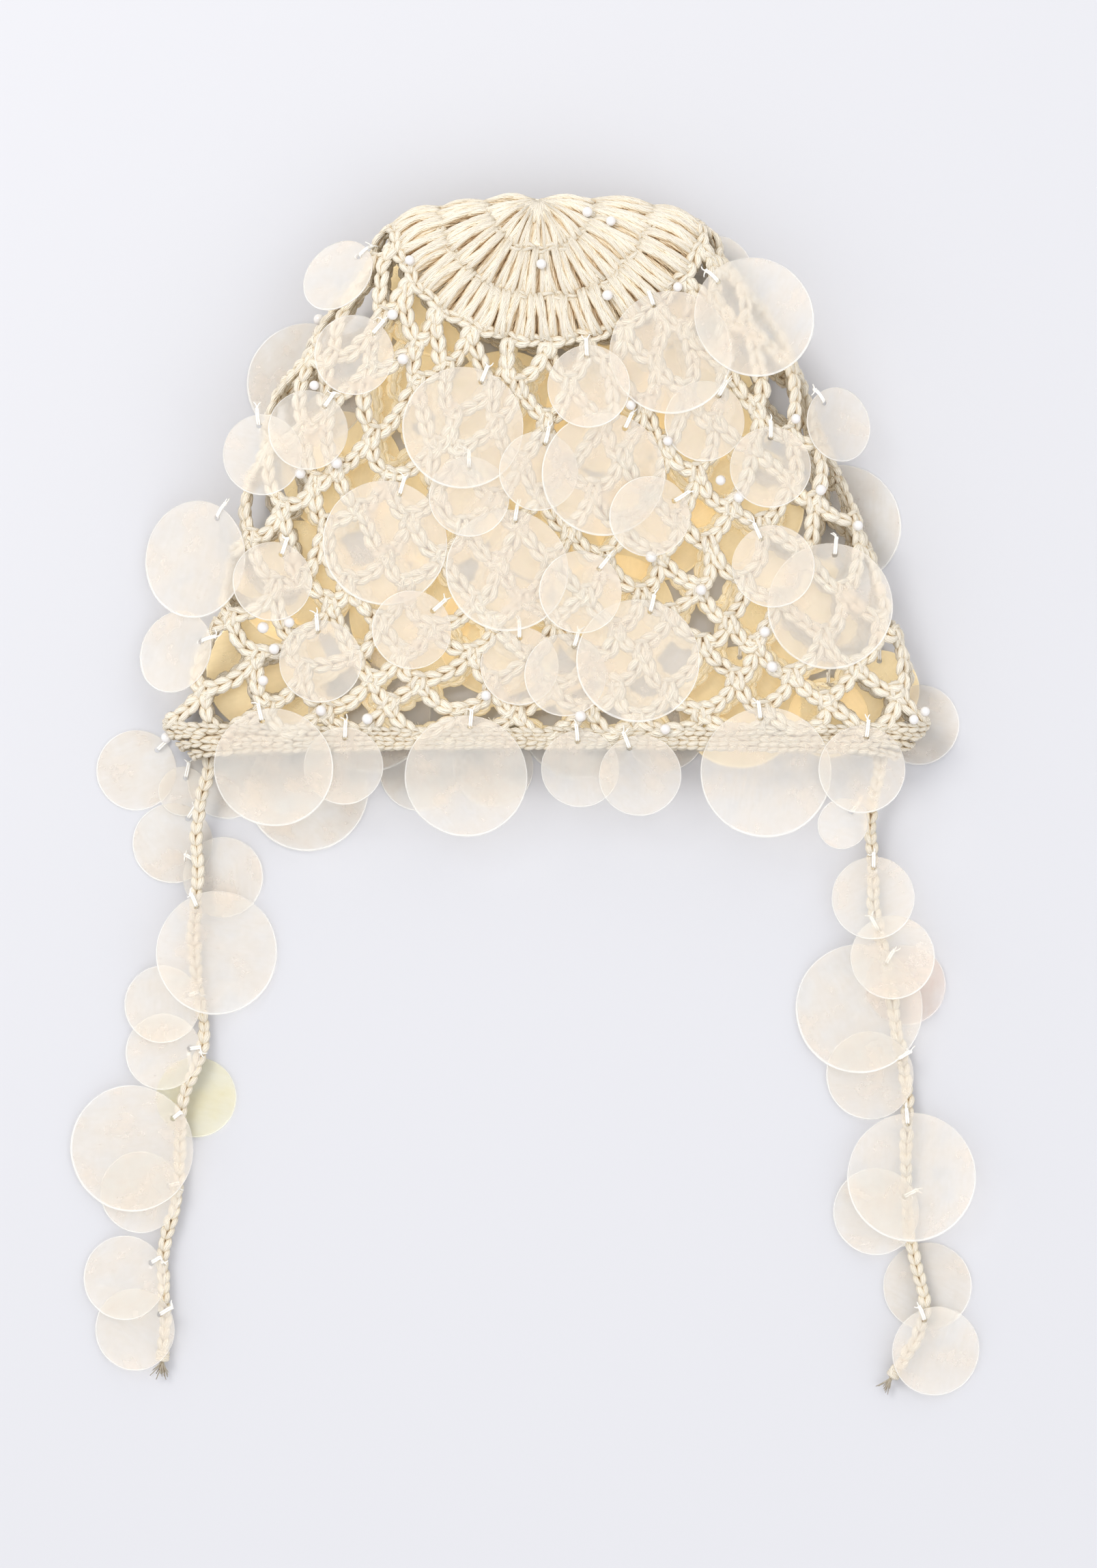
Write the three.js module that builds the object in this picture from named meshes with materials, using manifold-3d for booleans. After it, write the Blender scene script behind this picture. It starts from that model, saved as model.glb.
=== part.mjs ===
// Crocheted summer bonnet lying on its back, with pierced shell discs tied over its front
// and along its two chain-stitch cords. Millimetres, Z up, Y towards the crown, X to the right.
import * as THREE from 'three';
import Module from 'manifold-3d';
import { mergeVertices } from 'three/addons/utils/BufferGeometryUtils.js';

// Driving sizes of the hat
const HAT_HEIGHT = 209; // brim line to the fold over the crown's top
const BRIM_WIDTH = 282; // flat width across the brim's corners
const CROWN_REACH = 54; // how far the crown comes down over the front
const BRIM_HEIGHT = 9; // close edging rows round the mouth
const WALL = 4; // thickness of the crocheted wall
const MOUTH_GAP = 9.5; // clear height between the brim's two layers
const CROWN_GAP = 27; // clear height inside the crown
const STRAND = 5; // width of a chain of the net
const CLEARANCE = 0.35; // gap between pieces that touch
const SEAM_GAP = 0.5; // gap along the seams of net, brim and crown

// Net and mesh divisions
const NET_COLUMNS = 12;
const NET_ROWS = 8;
const BORDER_CHAIN = 0.8; // width of the chain along a border, share of STRAND

// Shell discs
const DISC_THICKNESS = 0.9;
const BACK_THICKNESS = 1.6; // two layers of shell under the hat's back
const LARGE = 22.5; // radii
const MEDIUM = 14.75;
const SMALL = 9.1;
const HOLE_RADIUS = 1.1;
const HOLE_MARGIN = 4; // hole's middle to the disc's edge
const DISC_SIDES = 14;
const BACK_SIDES = 10;
const HOLE_SIDES = 4;
const BACK_OVERLAP = 1; // least overlap of a back disc with one before it
const THREAD_PULL = 0.45; // how far a disc's thread draws its resting point to the hole
const LYING = 0.2; // steepest slope of a disc that lies flat
const HANGING = 0.6; // steepest slope of a disc that leans over a fold
const TIE_SLOPE = 0.4; // steepest slope of a disc that lies over a cord

// Cords
const CORD_DIAMETER = 4.5;
const CORD_SIDES = 8;
const CORD_STEPS = 26;

// How finely the hat is measured and the discs are laid
const ROUND_SAMPLES = 240; // round one row of the hat
const CORD_SAMPLES = 240; // along a cord
const RIM_SAMPLES = 48; // round a disc's rim
const CONTACT_STEP = 1.6; // between the points looked at under a disc
const CONTACT_MARGIN = 0.4; // looked at beyond a disc's rim
const EDGE_MARGIN = 1; // by which the brim still carries beyond its edge
const VALLEY_STEPS = 26;

// Silhouette and depth from the brim up. up: share of HAT_HEIGHT; left, right: shares of
// half BRIM_WIDTH; puff: share of the way from the mouth's to the crown's clear height.
const SECTIONS = [
  { up: 0.02, left: 0.93, right: 0.91, puff: 0 },
  { up: 0.075, left: 1.0, right: 0.99, puff: 0.01 },
  { up: 0.15, left: 0.955, right: 0.96, puff: 0.05 },
  { up: 0.27, left: 0.865, right: 0.9, puff: 0.16 },
  { up: 0.45, left: 0.805, right: 0.805, puff: 0.4 },
  { up: 0.62, left: 0.735, right: 0.7, puff: 0.66 },
  { up: 0.74, left: 0.64, right: 0.625, puff: 0.85 },
  { up: 0.83, left: 0.53, right: 0.535, puff: 0.96 },
  { up: 0.895, left: 0.46, right: 0.455, puff: 1 },
];
const BRIM_ARCH = 0.043; // middle of the brim's edge above the brim line, share of HAT_HEIGHT
const CORNER_POWER = 2.5; // squareness of the crown's outline
const FOLD_ROUNDING = 1.15; // reach of the folded edge's rounding, share of the half-height

// Crown's rings: share of the way from the crown's middle to its border
const CROWN_RINGS = [0.92, 0.79, 0.63, 0.45, 0.26, 0.09];

// Front discs, lowest first. across: share of half BRIM_WIDTH; up: share of HAT_HEIGHT;
// hole: direction of the hole in degrees; slope: steepest slope.
const FRONT_DISCS = [
  { across: -0.738, up: 0.548, radius: MEDIUM, scale: 1.0, hole: 96, slope: LYING },
  { across: -0.62, up: 0.59, radius: MEDIUM, scale: 0.98, hole: 55, slope: LYING },
  { across: 0.402, up: 0.606, radius: MEDIUM, scale: 0.99, hole: 61, slope: LYING },
  { across: 0.315, up: 0.724, radius: LARGE, scale: 0.99, hole: 110, slope: LYING },
  { across: 0.529, up: 0.785, radius: LARGE, scale: 0.99, hole: 136, slope: LYING },
  { across: -0.543, up: 0.86, radius: MEDIUM, scale: 0.98, hole: 39, slope: HANGING },
  { across: -0.501, up: 0.72, radius: MEDIUM, scale: 0.98, hole: 49, slope: LYING },
  { across: -0.423, up: 0.395, radius: LARGE, scale: 1.01, hole: 73, slope: LYING },
  { across: -0.075, up: 0.181, radius: MEDIUM, scale: 0.97, hole: 90, slope: LYING },
  { across: -0.107, up: 0.347, radius: LARGE, scale: 0.99, hole: 81, slope: LYING },
  { across: 0.043, up: 0.165, radius: MEDIUM, scale: 1.02, hole: 73, slope: LYING },
  { across: -0.205, up: 0.475, radius: MEDIUM, scale: 0.99, hole: 90, slope: LYING },
  { across: -0.221, up: 0.594, radius: LARGE, scale: 0.98, hole: 68, slope: LYING },
  { across: 0.231, up: 0.19, radius: LARGE, scale: 1.0, hole: 76, slope: LYING },
  { across: 0.082, up: 0.309, radius: MEDIUM, scale: 1.02, hole: 51, slope: LYING },
  { across: -0.354, up: 0.244, radius: MEDIUM, scale: 0.98, hole: 42, slope: LYING },
  { across: -0.026, up: 0.519, radius: MEDIUM, scale: 0.98, hole: 77, slope: LYING },
  { across: 0.141, up: 0.514, radius: LARGE, scale: 1.0, hole: 65, slope: LYING },
  { across: 0.104, up: 0.665, radius: MEDIUM, scale: 1.02, hole: 93, slope: LYING },
  { across: 0.26, up: 0.441, radius: MEDIUM, scale: 1.0, hole: 32, slope: LYING },
  { across: 0.572, up: 0.526, radius: MEDIUM, scale: 1.0, hole: 90, slope: LYING },
  { across: 0.749, up: 0.602, radius: MEDIUM, scale: 0.93, hole: 128, slope: HANGING },
  { across: 0.728, up: 0.285, radius: LARGE, scale: 1.02, hole: 85, slope: LYING },
  { across: 0.581, up: 0.354, radius: MEDIUM, scale: 1.02, hole: 114, slope: LYING },
  { across: -0.967, up: 0.206, radius: MEDIUM, scale: 1.05, hole: 15, slope: HANGING },
  { across: -0.916, up: 0.368, radius: LARGE, scale: 0.96, hole: 58, slope: HANGING },
  { across: -0.714, up: 0.328, radius: MEDIUM, scale: 0.98, hole: 71, slope: LYING },
  { across: -0.59, up: 0.189, radius: MEDIUM, scale: 1.02, hole: 95, slope: LYING },
  { across: -0.531, up: 0.007, radius: MEDIUM, scale: 0.98, hole: 87, slope: LYING },
  { across: -0.712, up: 0.004, radius: LARGE, scale: 0.97, hole: 103, slope: LYING },
  { across: -0.214, up: -0.011, radius: LARGE, scale: 1.0, hole: 85, slope: LYING },
  { across: 0.082, up: 0.002, radius: MEDIUM, scale: 0.97, hole: 95, slope: LYING },
  { across: 0.237, up: -0.01, radius: MEDIUM, scale: 1.02, hole: 111, slope: LYING },
  { across: 0.563, up: -0.005, radius: LARGE, scale: 1.06, hole: 96, slope: LYING },
  { across: 0.762, up: -0.094, radius: SMALL, scale: 1.04, hole: 55, slope: LYING },
  { across: 0.811, up: 0.0, radius: MEDIUM, scale: 1.08, hole: 82, slope: LYING },
];

// Discs under the hat's back and at its left corner, in one layer that the hat lies on
const BACK_DISCS = [
  { across: -1.075, up: -0.001, radius: MEDIUM },
  { across: -0.953, up: -0.038, radius: SMALL },
  { across: -0.981, up: -0.129, radius: MEDIUM },
  { across: -0.84, up: -0.016, radius: MEDIUM },
  { across: -0.629, up: -0.036, radius: LARGE },
  { across: -0.467, up: 0.104, radius: LARGE },
  { across: -0.336, up: -0.002, radius: MEDIUM },
  { across: -0.733, up: 0.17, radius: LARGE },
  { across: -0.662, up: 0.331, radius: LARGE },
  { across: -0.361, up: 0.272, radius: LARGE },
  { across: -0.13, up: 0.236, radius: LARGE },
  { across: -0.29, up: 0.463, radius: LARGE },
  { across: -0.006, up: 0.439, radius: LARGE },
  { across: 0.277, up: 0.439, radius: LARGE },
  { across: 0.171, up: 0.272, radius: LARGE },
  { across: 0.082, up: 0.092, radius: LARGE },
  { across: 0.304, up: 0.068, radius: MEDIUM },
  { across: 0.499, up: 0.11, radius: LARGE },
  { across: 0.73, up: 0.092, radius: MEDIUM },
  { across: 0.863, up: 0.14, radius: MEDIUM },
  { across: 0.967, up: 0.079, radius: MEDIUM },
  { across: 0.65, up: 0.272, radius: LARGE },
  { across: 0.76, up: 0.429, radius: LARGE },
  { across: 0.508, up: 0.463, radius: LARGE },
  { across: -0.538, up: 0.523, radius: LARGE },
  { across: -0.627, up: 0.678, radius: LARGE },
  { across: 0.384, up: 0.642, radius: LARGE },
  { across: 0.153, up: 0.63, radius: LARGE },
  { across: -0.113, up: 0.63, radius: LARGE },
  { across: 0.205, up: 0.822, radius: LARGE },
  { across: 0.43, up: 0.87, radius: MEDIUM },
  { across: -0.144, up: 0.005, radius: MEDIUM },
  { across: -0.379, up: 0.678, radius: MEDIUM },
  { across: -0.29, up: 0.834, radius: LARGE },
];

// Routes of the two cords, middle of the cord, from the brim's corner to the free end
const LEFT_ROUTE = [
  [-124.3, 5.1, 10.4], [-124.9, -2, 9.6], [-127.8, -13, 7.6], [-129.4, -25, 6.8], [-128.6, -37, 6.4],
  [-129.4, -49.5, 5.6], [-130.3, -60, 3.6], [-129.9, -70, 2.9], [-128.4, -83.2, 2.8],
  [-126.4, -97, 3.2], [-129.2, -108.2, 4.2], [-133.4, -118.2, 4.2], [-134.9, -127, 4],
  [-135.3, -140.8, 2.9], [-136.4, -155.8, 2.8], [-138.8, -166.2, 2.8], [-141.6, -175.8, 2.8],
  [-141.6, -185.8, 2.8], [-140.9, -200.8, 2.8], [-141.9, -216.8, 2.8],
];
const RIGHT_ROUTE = [
  [121.5, 5.1, 10.4], [120.9, -2, 9.4], [118.8, -12, 6.9], [118.1, -22, 4.6], [119.3, -35, 3.1],
  [119.2, -43.2, 2.8], [119.8, -51.8, 2.8], [121.9, -61.8, 3.3], [124.4, -73, 4.1],
  [125.8, -83.2, 4.1], [128.1, -97.5, 3.6], [131.4, -115, 2.8], [131.9, -124.5, 2.8],
  [131.4, -140.8, 2.8], [131.6, -158, 2.8], [132.9, -171.2, 3.6], [135.2, -183, 4.2],
  [138.2, -195.2, 4.1], [135.4, -208.2, 3.4], [126.4, -222.8, 2.8],
];

// Discs on the cords, lowest first. at: share of the cord's length where the thread is tied;
// hang: direction from there to the disc's middle in degrees; away: distance as share of the
// radius; under: true for a disc that the cord lies on.
const LEFT_TIE_DISCS = [
  { at: 0.177, hang: -31, away: 0.72, radius: MEDIUM, scale: 1.0, under: true },
  { at: 0.53, hang: -81, away: 0.56, radius: MEDIUM, scale: 1.0, under: true },
  { at: 0.482, hang: -174, away: 1.01, radius: MEDIUM, scale: 0.96, under: false },
  { at: 0.391, hang: -162, away: 0.97, radius: MEDIUM, scale: 0.97, under: false },
  { at: 0.249, hang: -66, away: 0.82, radius: LARGE, scale: 1.01, under: false },
  { at: 0.709, hang: -167, away: 0.95, radius: MEDIUM, scale: 1.02, under: false },
  { at: 0.593, hang: -144, away: 0.97, radius: LARGE, scale: 1.03, under: false },
  { at: 0.921, hang: -149, away: 0.85, radius: MEDIUM, scale: 1.02, under: false },
  { at: 0.832, hang: -151, away: 1.02, radius: MEDIUM, scale: 1.05, under: false },
];
const RIGHT_TIE_DISCS = [
  { at: 0.337, hang: -45, away: 0.68, radius: MEDIUM, scale: 1.0, under: true },
  { at: 0.806, hang: -63, away: 0.63, radius: MEDIUM, scale: 1.1, under: true },
  { at: 0.481, hang: -149, away: 0.83, radius: MEDIUM, scale: 1.1, under: false },
  { at: 0.333, hang: -121, away: 0.82, radius: LARGE, scale: 1.05, under: false },
  { at: 0.283, hang: -62, away: 0.66, radius: MEDIUM, scale: 1.05, under: false },
  { at: 0.181, hang: -91, away: 0.72, radius: MEDIUM, scale: 1.03, under: false },
  { at: 0.7, hang: -152, away: 0.79, radius: MEDIUM, scale: 1.08, under: false },
  { at: 0.586, hang: -86, away: 0.84, radius: LARGE, scale: 1.05, under: false },
  { at: 0.896, hang: -69, away: 0.78, radius: MEDIUM, scale: 1.12, under: false },
];

const YARN = { color: 0xf0e4d0, roughness: 0.95, metalness: 0 };
const SHELL = { color: 0xf4efe8, roughness: 0.35, metalness: 0 };

const HALF_WIDTH = BRIM_WIDTH / 2;
const HAT_FLOOR = BACK_THICKNESS + CLEARANCE; // underside of the hat's back
const SIDE_LOW = SECTIONS[0].up * HAT_HEIGHT;
const SIDE_HIGH = SECTIONS.at(-1).up * HAT_HEIGHT;
const MIDDLE_LOW = BRIM_ARCH * HAT_HEIGHT;
const MIDDLE_HIGH = HAT_HEIGHT - CROWN_REACH;
const ROW_LENGTH = MIDDLE_HIGH - MIDDLE_LOW;
const NET_LOW = BRIM_HEIGHT / ROW_LENGTH;
const NET_PITCH = (1 - NET_LOW) / NET_ROWS;

const wasm = await Module();
wasm.setup();

// Smooth value of one column of SECTIONS at a share of the hat's height
function column(name, up) {
  const last = SECTIONS.length - 1;
  let row = 0;
  while (row < last - 1 && up > SECTIONS[row + 1].up) row += 1;
  const from = SECTIONS[row];
  const to = SECTIONS[row + 1];
  const before = SECTIONS[Math.max(row - 1, 0)];
  const after = SECTIONS[Math.min(row + 2, last)];
  const span = to.up - from.up;
  const share = THREE.MathUtils.clamp((up - from.up) / span, 0, 1);
  const startSlope = ((to[name] - before[name]) / (to.up - before.up)) * span;
  const endSlope = ((after[name] - from[name]) / (after.up - from.up)) * span;
  const s2 = share * share;
  const s3 = s2 * share;
  return (2 * s3 - 3 * s2 + 1) * from[name] + (s3 - 2 * s2 + share) * startSlope
    + (3 * s2 - 2 * s3) * to[name] + (s3 - s2) * endSlope;
}

// Half-widths and clear half-height of the hat at one height y
function section(y) {
  const up = y / HAT_HEIGHT;
  const gap = MOUTH_GAP + (CROWN_GAP - MOUTH_GAP) * column('puff', up);
  return {
    left: column('left', up) * HALF_WIDTH,
    right: column('right', up) * HALF_WIDTH,
    half: gap / 2 + WALL,
  };
}

const CROWN_SIDE = section(SIDE_HIGH);
const CROWN_HALF = (CROWN_SIDE.left + CROWN_SIDE.right) / 2;
const CROWN_MIDDLE = (CROWN_SIDE.right - CROWN_SIDE.left) / 2;

// Height of the hat's outline over the crown, at x
function topLine(x, inset) {
  const share = Math.min(Math.abs(x - CROWN_MIDDLE) / (CROWN_HALF - inset), 1);
  const rise = Math.pow(1 - Math.pow(share, CORNER_POWER), 1 / CORNER_POWER);
  return SIDE_HIGH + (HAT_HEIGHT - inset - SIDE_HIGH) * rise;
}

// Share of the full half-height at a distance from the folded edge
function foldShare(distance, radius) {
  const share = THREE.MathUtils.clamp(distance / radius, 0, 1);
  return Math.sqrt(share * (2 - share));
}

// Height above or below the hat's middle plane at (x, y), on a surface inset from the outside
function halfHeight(x, y, inset) {
  const here = section(y);
  const middle = (here.right - here.left) / 2;
  const fromSide = Math.max((here.right + here.left) / 2 - inset - Math.abs(x - middle), 0);
  const fromTop = Math.max(topLine(x, inset) - y, 0);
  const distance = fromSide * fromTop / Math.max(Math.hypot(fromSide, fromTop), 1e-9);
  return (here.half - inset) * foldShare(distance, here.half * FOLD_ROUNDING);
}

// Point of the hat: row 0 to 1 from the brim's edge to the crown's border, 1 to 2 on to the
// crown's middle; turn 0 to 2 PI from the left fold over the front to the right and back behind
function hatPoint(row, turn, inset) {
  let left;
  let right;
  let sideY;
  let middleY;
  if (row <= 1) {
    sideY = SIDE_LOW + (SIDE_HIGH - SIDE_LOW) * row;
    middleY = MIDDLE_LOW + (MIDDLE_HIGH - MIDDLE_LOW) * row;
    const here = section(sideY);
    left = -here.left + inset;
    right = here.right - inset;
  } else {
    const angle = (row - 1) * Math.PI / 2;
    const half = (CROWN_HALF - inset) * Math.pow(Math.cos(angle), 2 / CORNER_POWER);
    left = CROWN_MIDDLE - half;
    right = CROWN_MIDDLE + half;
    sideY = topLine(right, inset);
    middleY = MIDDLE_HIGH + (HAT_HEIGHT - inset - MIDDLE_HIGH) * (row - 1);
  }
  const across = -Math.cos(turn);
  const round = Math.abs(Math.sin(turn));
  const x = (left + right) / 2 + across * (right - left) / 2;
  const y = sideY - (sideY - middleY) * round;
  const face = turn <= Math.PI ? 1 : -1;
  return new THREE.Vector3(x, y, HAT_FLOOR + section(y).half + face * halfHeight(x, y, inset));
}

// Turn angles at equal lengths of yarn round one row of the net; the brim and the crown
// carry on the lines of the net's borders
const turnTables = new Map();
function turnAt(row, share) {
  const netRow = THREE.MathUtils.clamp(row, NET_LOW, 1);
  const key = netRow.toFixed(4);
  if (!turnTables.has(key)) turnTables.set(key, lengthsRound(netRow));
  const lengths = turnTables.get(key);
  const target = (share - Math.floor(share)) * lengths.at(-1);
  let i = 1;
  while (lengths[i] < target) i += 1;
  const part = (target - lengths[i - 1]) / (lengths[i] - lengths[i - 1]);
  return ((i - 1 + part) / (lengths.length - 1)) * 2 * Math.PI;
}

// Running length of yarn at equal turns round one row of the hat
function lengthsRound(row) {
  const lengths = [0];
  let last = hatPoint(row, 0, 0);
  for (let i = 1; i <= ROUND_SAMPLES; i += 1) {
    const next = hatPoint(row, (i / ROUND_SAMPLES) * 2 * Math.PI, 0);
    lengths.push(lengths[i - 1] + next.distanceTo(last));
    last = next;
  }
  return lengths;
}

// Closed wall from faces drawn on the hat. A face is a list of [row, share round]. Walls of
// two pieces that meet along a border are split the same way; lift moves a row off its seam.
function wallFrom(faces, lift = () => 0) {
  const positions = [];
  const round = [];
  const numbers = new Map();
  const corner = (point, inset) => {
    const share = point[1] - Math.floor(point[1] + 1e-9);
    const key = `${point[0].toFixed(5)} ${share.toFixed(5)} ${inset}`;
    if (!numbers.has(key)) {
      const place = hatPoint(point[0], turnAt(point[0], share), inset);
      numbers.set(key, positions.length / 3);
      positions.push(place.x, place.y + lift(point[0]), place.z);
      round.push(share);
    }
    return numbers.get(key);
  };
  const triangles = [];
  const edges = new Map();
  for (const face of faces) {
    const outer = face.map((point) => corner(point, 0));
    const inner = face.map((point) => corner(point, WALL));
    for (let i = 1; i + 1 < face.length; i += 1) {
      triangles.push(outer[0], outer[i], outer[i + 1]);
      triangles.push(inner[0], inner[i + 1], inner[i]);
    }
    for (let i = 0; i < face.length; i += 1) {
      const next = (i + 1) % face.length;
      edges.set(`${outer[i]} ${outer[next]}`, [outer[i], outer[next], inner[next], inner[i]]);
    }
  }
  for (const [key, quad] of edges) {
    const [from, to] = key.split(' ');
    if (edges.has(`${to} ${from}`)) continue;
    const [start, end, innerEnd, innerStart] = quad;
    if (round[start] < round[end]) {
      triangles.push(end, start, innerEnd, start, innerStart, innerEnd);
    } else {
      triangles.push(end, start, innerStart, end, innerStart, innerEnd);
    }
  }
  return outward(positions, triangles);
}

// Indexed geometry whose faces look outwards
function outward(positions, triangles) {
  const at = (i) => new THREE.Vector3().fromArray(positions, 3 * i);
  let volume = 0;
  for (let i = 0; i < triangles.length; i += 3) {
    volume += at(triangles[i]).dot(at(triangles[i + 1]).cross(at(triangles[i + 2])));
  }
  const index = volume > 0 ? triangles : triangles.toReversed();
  const geometry = new THREE.BufferGeometry();
  geometry.setAttribute('position', new THREE.Float32BufferAttribute(positions, 3));
  geometry.setIndex(index);
  geometry.computeVertexNormals();
  return geometry;
}

// Openings of each net row: share of the full diamond left open by the chains round it, and
// share of the row's height that the chain along a border takes
const NET_OPENINGS = [];
for (let level = 0; level <= NET_ROWS; level += 1) {
  const half = lengthsRound(NET_LOW + level * NET_PITCH).at(-1) / NET_COLUMNS / 2;
  const rise = NET_PITCH * ROW_LENGTH;
  NET_OPENINGS.push({
    open: 1 - (STRAND / 2) * Math.hypot(half, rise) / (half * rise),
    border: STRAND * BORDER_CHAIN / rise,
  });
}

const netPlace = (level, col) => [NET_LOW + level * NET_PITCH, col / NET_COLUMNS];

// Corners of the opening at a level and column; along a border it is half a diamond
function opening(level, col) {
  const { open, border } = NET_OPENINGS[level];
  const low = level === 0;
  const high = level === NET_ROWS;
  const base = (low ? border : 0) - (high ? border : 0);
  const reach = (open - Math.abs(base)) / 2;
  return {
    right: netPlace(level + base, col + reach),
    left: netPlace(level + base, col - reach),
    middle: netPlace(level + base, col),
    top: netPlace(level + open, col),
    bottom: netPlace(level - open, col),
    upperRight: netPlace(level + (open + base) / 2, col + reach / 2),
    upperLeft: netPlace(level + (open + base) / 2, col - reach / 2),
    lowerRight: netPlace(level - (open - base) / 2, col + reach / 2),
    lowerLeft: netPlace(level - (open - base) / 2, col - reach / 2),
    edgeRight: netPlace(level, col + reach),
    edgeMiddle: netPlace(level, col),
    edgeLeft: netPlace(level, col - reach),
  };
}

// Net: diamonds between slanted chains, half diamonds along both borders
function netGeometry() {
  const faces = [];
  for (let level = 0; level <= NET_ROWS; level += 1) {
    for (let j = 0; j < NET_COLUMNS; j += 1) {
      const col = j + (level % 2) / 2;
      const before = opening(level, col - 0.5);
      const after = opening(level, col + 0.5);
      const above = level < NET_ROWS ? opening(level + 1, col) : null;
      const below = level > 0 ? opening(level - 1, col) : null;
      // knot where the chains meet
      if (level === 0) {
        faces.push([before.edgeRight, after.edgeLeft, after.left, above.bottom, before.right]);
        faces.push([after.edgeLeft, after.edgeMiddle, after.middle, after.left]);
        faces.push([after.edgeMiddle, after.edgeRight, after.right, after.middle]);
      } else if (level === NET_ROWS) {
        faces.push([before.right, below.top, after.left, after.edgeLeft, before.edgeRight]);
        faces.push([after.left, after.middle, after.edgeMiddle, after.edgeLeft]);
        faces.push([after.middle, after.right, after.edgeRight, after.edgeMiddle]);
      } else {
        faces.push([before.right, below.top, after.left, above.bottom]);
      }
      if (!above) continue;
      // chains up to the right and up to the left
      faces.push([after.left, after.upperLeft, above.lowerRight, above.bottom]);
      faces.push([after.upperLeft, after.top, above.right, above.lowerRight]);
      faces.push([above.bottom, above.lowerLeft, before.upperRight, before.right]);
      faces.push([above.lowerLeft, above.left, before.top, before.upperRight]);
    }
  }
  return wallFrom(faces);
}

// Places round a border that the net shares with the brim or the crown
function borderShares(level) {
  const shares = [];
  for (let j = 0; j < NET_COLUMNS; j += 1) {
    const gap = opening(level, j + 0.5);
    shares.push(gap.edgeLeft[1], gap.edgeMiddle[1], gap.edgeRight[1]);
  }
  return shares;
}

// Faces of a plain band between rows of the hat
function bandFaces(rows, shares) {
  const faces = [];
  for (let r = 0; r + 1 < rows.length; r += 1) {
    shares.forEach((from, i) => {
      const to = i + 1 < shares.length ? shares[i + 1] : shares[0] + 1;
      faces.push([[rows[r], from], [rows[r], to], [rows[r + 1], to], [rows[r + 1], from]]);
    });
  }
  return faces;
}

// Brim: the close edging round the mouth
function brimGeometry() {
  const faces = bandFaces([0, NET_LOW / 2, NET_LOW], borderShares(0));
  return wallFrom(faces, (row) => (row === NET_LOW ? -SEAM_GAP : 0));
}

// Crown: the dense round top, folded over the hat's upper edge
function crownGeometry() {
  const rows = [1, ...CROWN_RINGS.map((share) => 2 - share)];
  const shares = borderShares(NET_ROWS);
  const cap = shares.map((share) => [rows.at(-1), share]);
  return wallFrom([...bandFaces(rows, shares), cap], (row) => (row === 1 ? SEAM_GAP : 0));
}

// Flat disc with its hole on +X, underside at z = 0
function discGeometry(radius) {
  const outline = new THREE.Shape(ring(radius, DISC_SIDES, 0, 0));
  outline.holes.push(new THREE.Path(ring(HOLE_RADIUS, HOLE_SIDES, radius - HOLE_MARGIN, 0)));
  return new THREE.ExtrudeGeometry(outline, { depth: DISC_THICKNESS, bevelEnabled: false });
}

// Points of a regular polygon
function ring(radius, sides, x, y) {
  const points = [];
  for (let i = 0; i < sides; i += 1) {
    const angle = ((i + 0.5) / sides) * 2 * Math.PI;
    points.push(new THREE.Vector2(x + radius * Math.cos(angle), y + radius * Math.sin(angle)));
  }
  return points;
}

// Exact geometry as a solid for joining
function solidOf(geometry) {
  const plain = geometry.clone();
  plain.deleteAttribute('normal');
  plain.deleteAttribute('uv');
  const merged = mergeVertices(plain, 1e-4);
  return new wasm.Manifold(new wasm.Mesh({
    numProp: 3,
    vertProperties: merged.attributes.position.array,
    triVerts: merged.index.array,
  }));
}

function geometryOf(solid) {
  const mesh = solid.getMesh();
  const geometry = new THREE.BufferGeometry();
  geometry.setAttribute('position', new THREE.BufferAttribute(mesh.vertProperties, 3));
  geometry.setIndex(new THREE.BufferAttribute(mesh.triVerts, 1));
  geometry.computeVertexNormals();
  return geometry;
}

// Places of the back discs, each wide enough to overlap one before it
const BACK_FIELD = [];
for (const row of BACK_DISCS) {
  const x = row.across * HALF_WIDTH;
  const y = row.up * HAT_HEIGHT;
  const flatShare = Math.cos(Math.PI / BACK_SIDES);
  const reaches = BACK_FIELD.map((disc) => {
    return (Math.hypot(x - disc.x, y - disc.y) + BACK_OVERLAP) / flatShare - disc.radius;
  });
  const needed = reaches.length > 0 ? Math.min(...reaches) : 0;
  BACK_FIELD.push({ x, y, radius: Math.max(row.radius, needed) });
}

// Back discs: one plate of overlapping discs
function backGeometry() {
  let plate = null;
  for (const { x, y, radius } of BACK_FIELD) {
    const outline = new THREE.Shape(ring(radius, BACK_SIDES, 0, 0));
    const disc = new THREE.ExtrudeGeometry(outline, { depth: BACK_THICKNESS, bevelEnabled: false });
    disc.translate(x, y, 0);
    plate = plate ? plate.add(solidOf(disc)) : solidOf(disc);
  }
  return geometryOf(plate);
}

function routeCurve(route) {
  return new THREE.CatmullRomCurve3(route.map((point) => new THREE.Vector3(...point)));
}

function cordGeometry(curve) {
  const profile = new THREE.Shape(ring(CORD_DIAMETER / 2, CORD_SIDES, 0, 0));
  const options = { steps: CORD_STEPS, extrudePath: curve, bevelEnabled: false };
  const tube = new THREE.ExtrudeGeometry(profile, options);
  tube.deleteAttribute('normal');
  tube.deleteAttribute('uv');
  return mergeVertices(tube, 1e-3);
}

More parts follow.
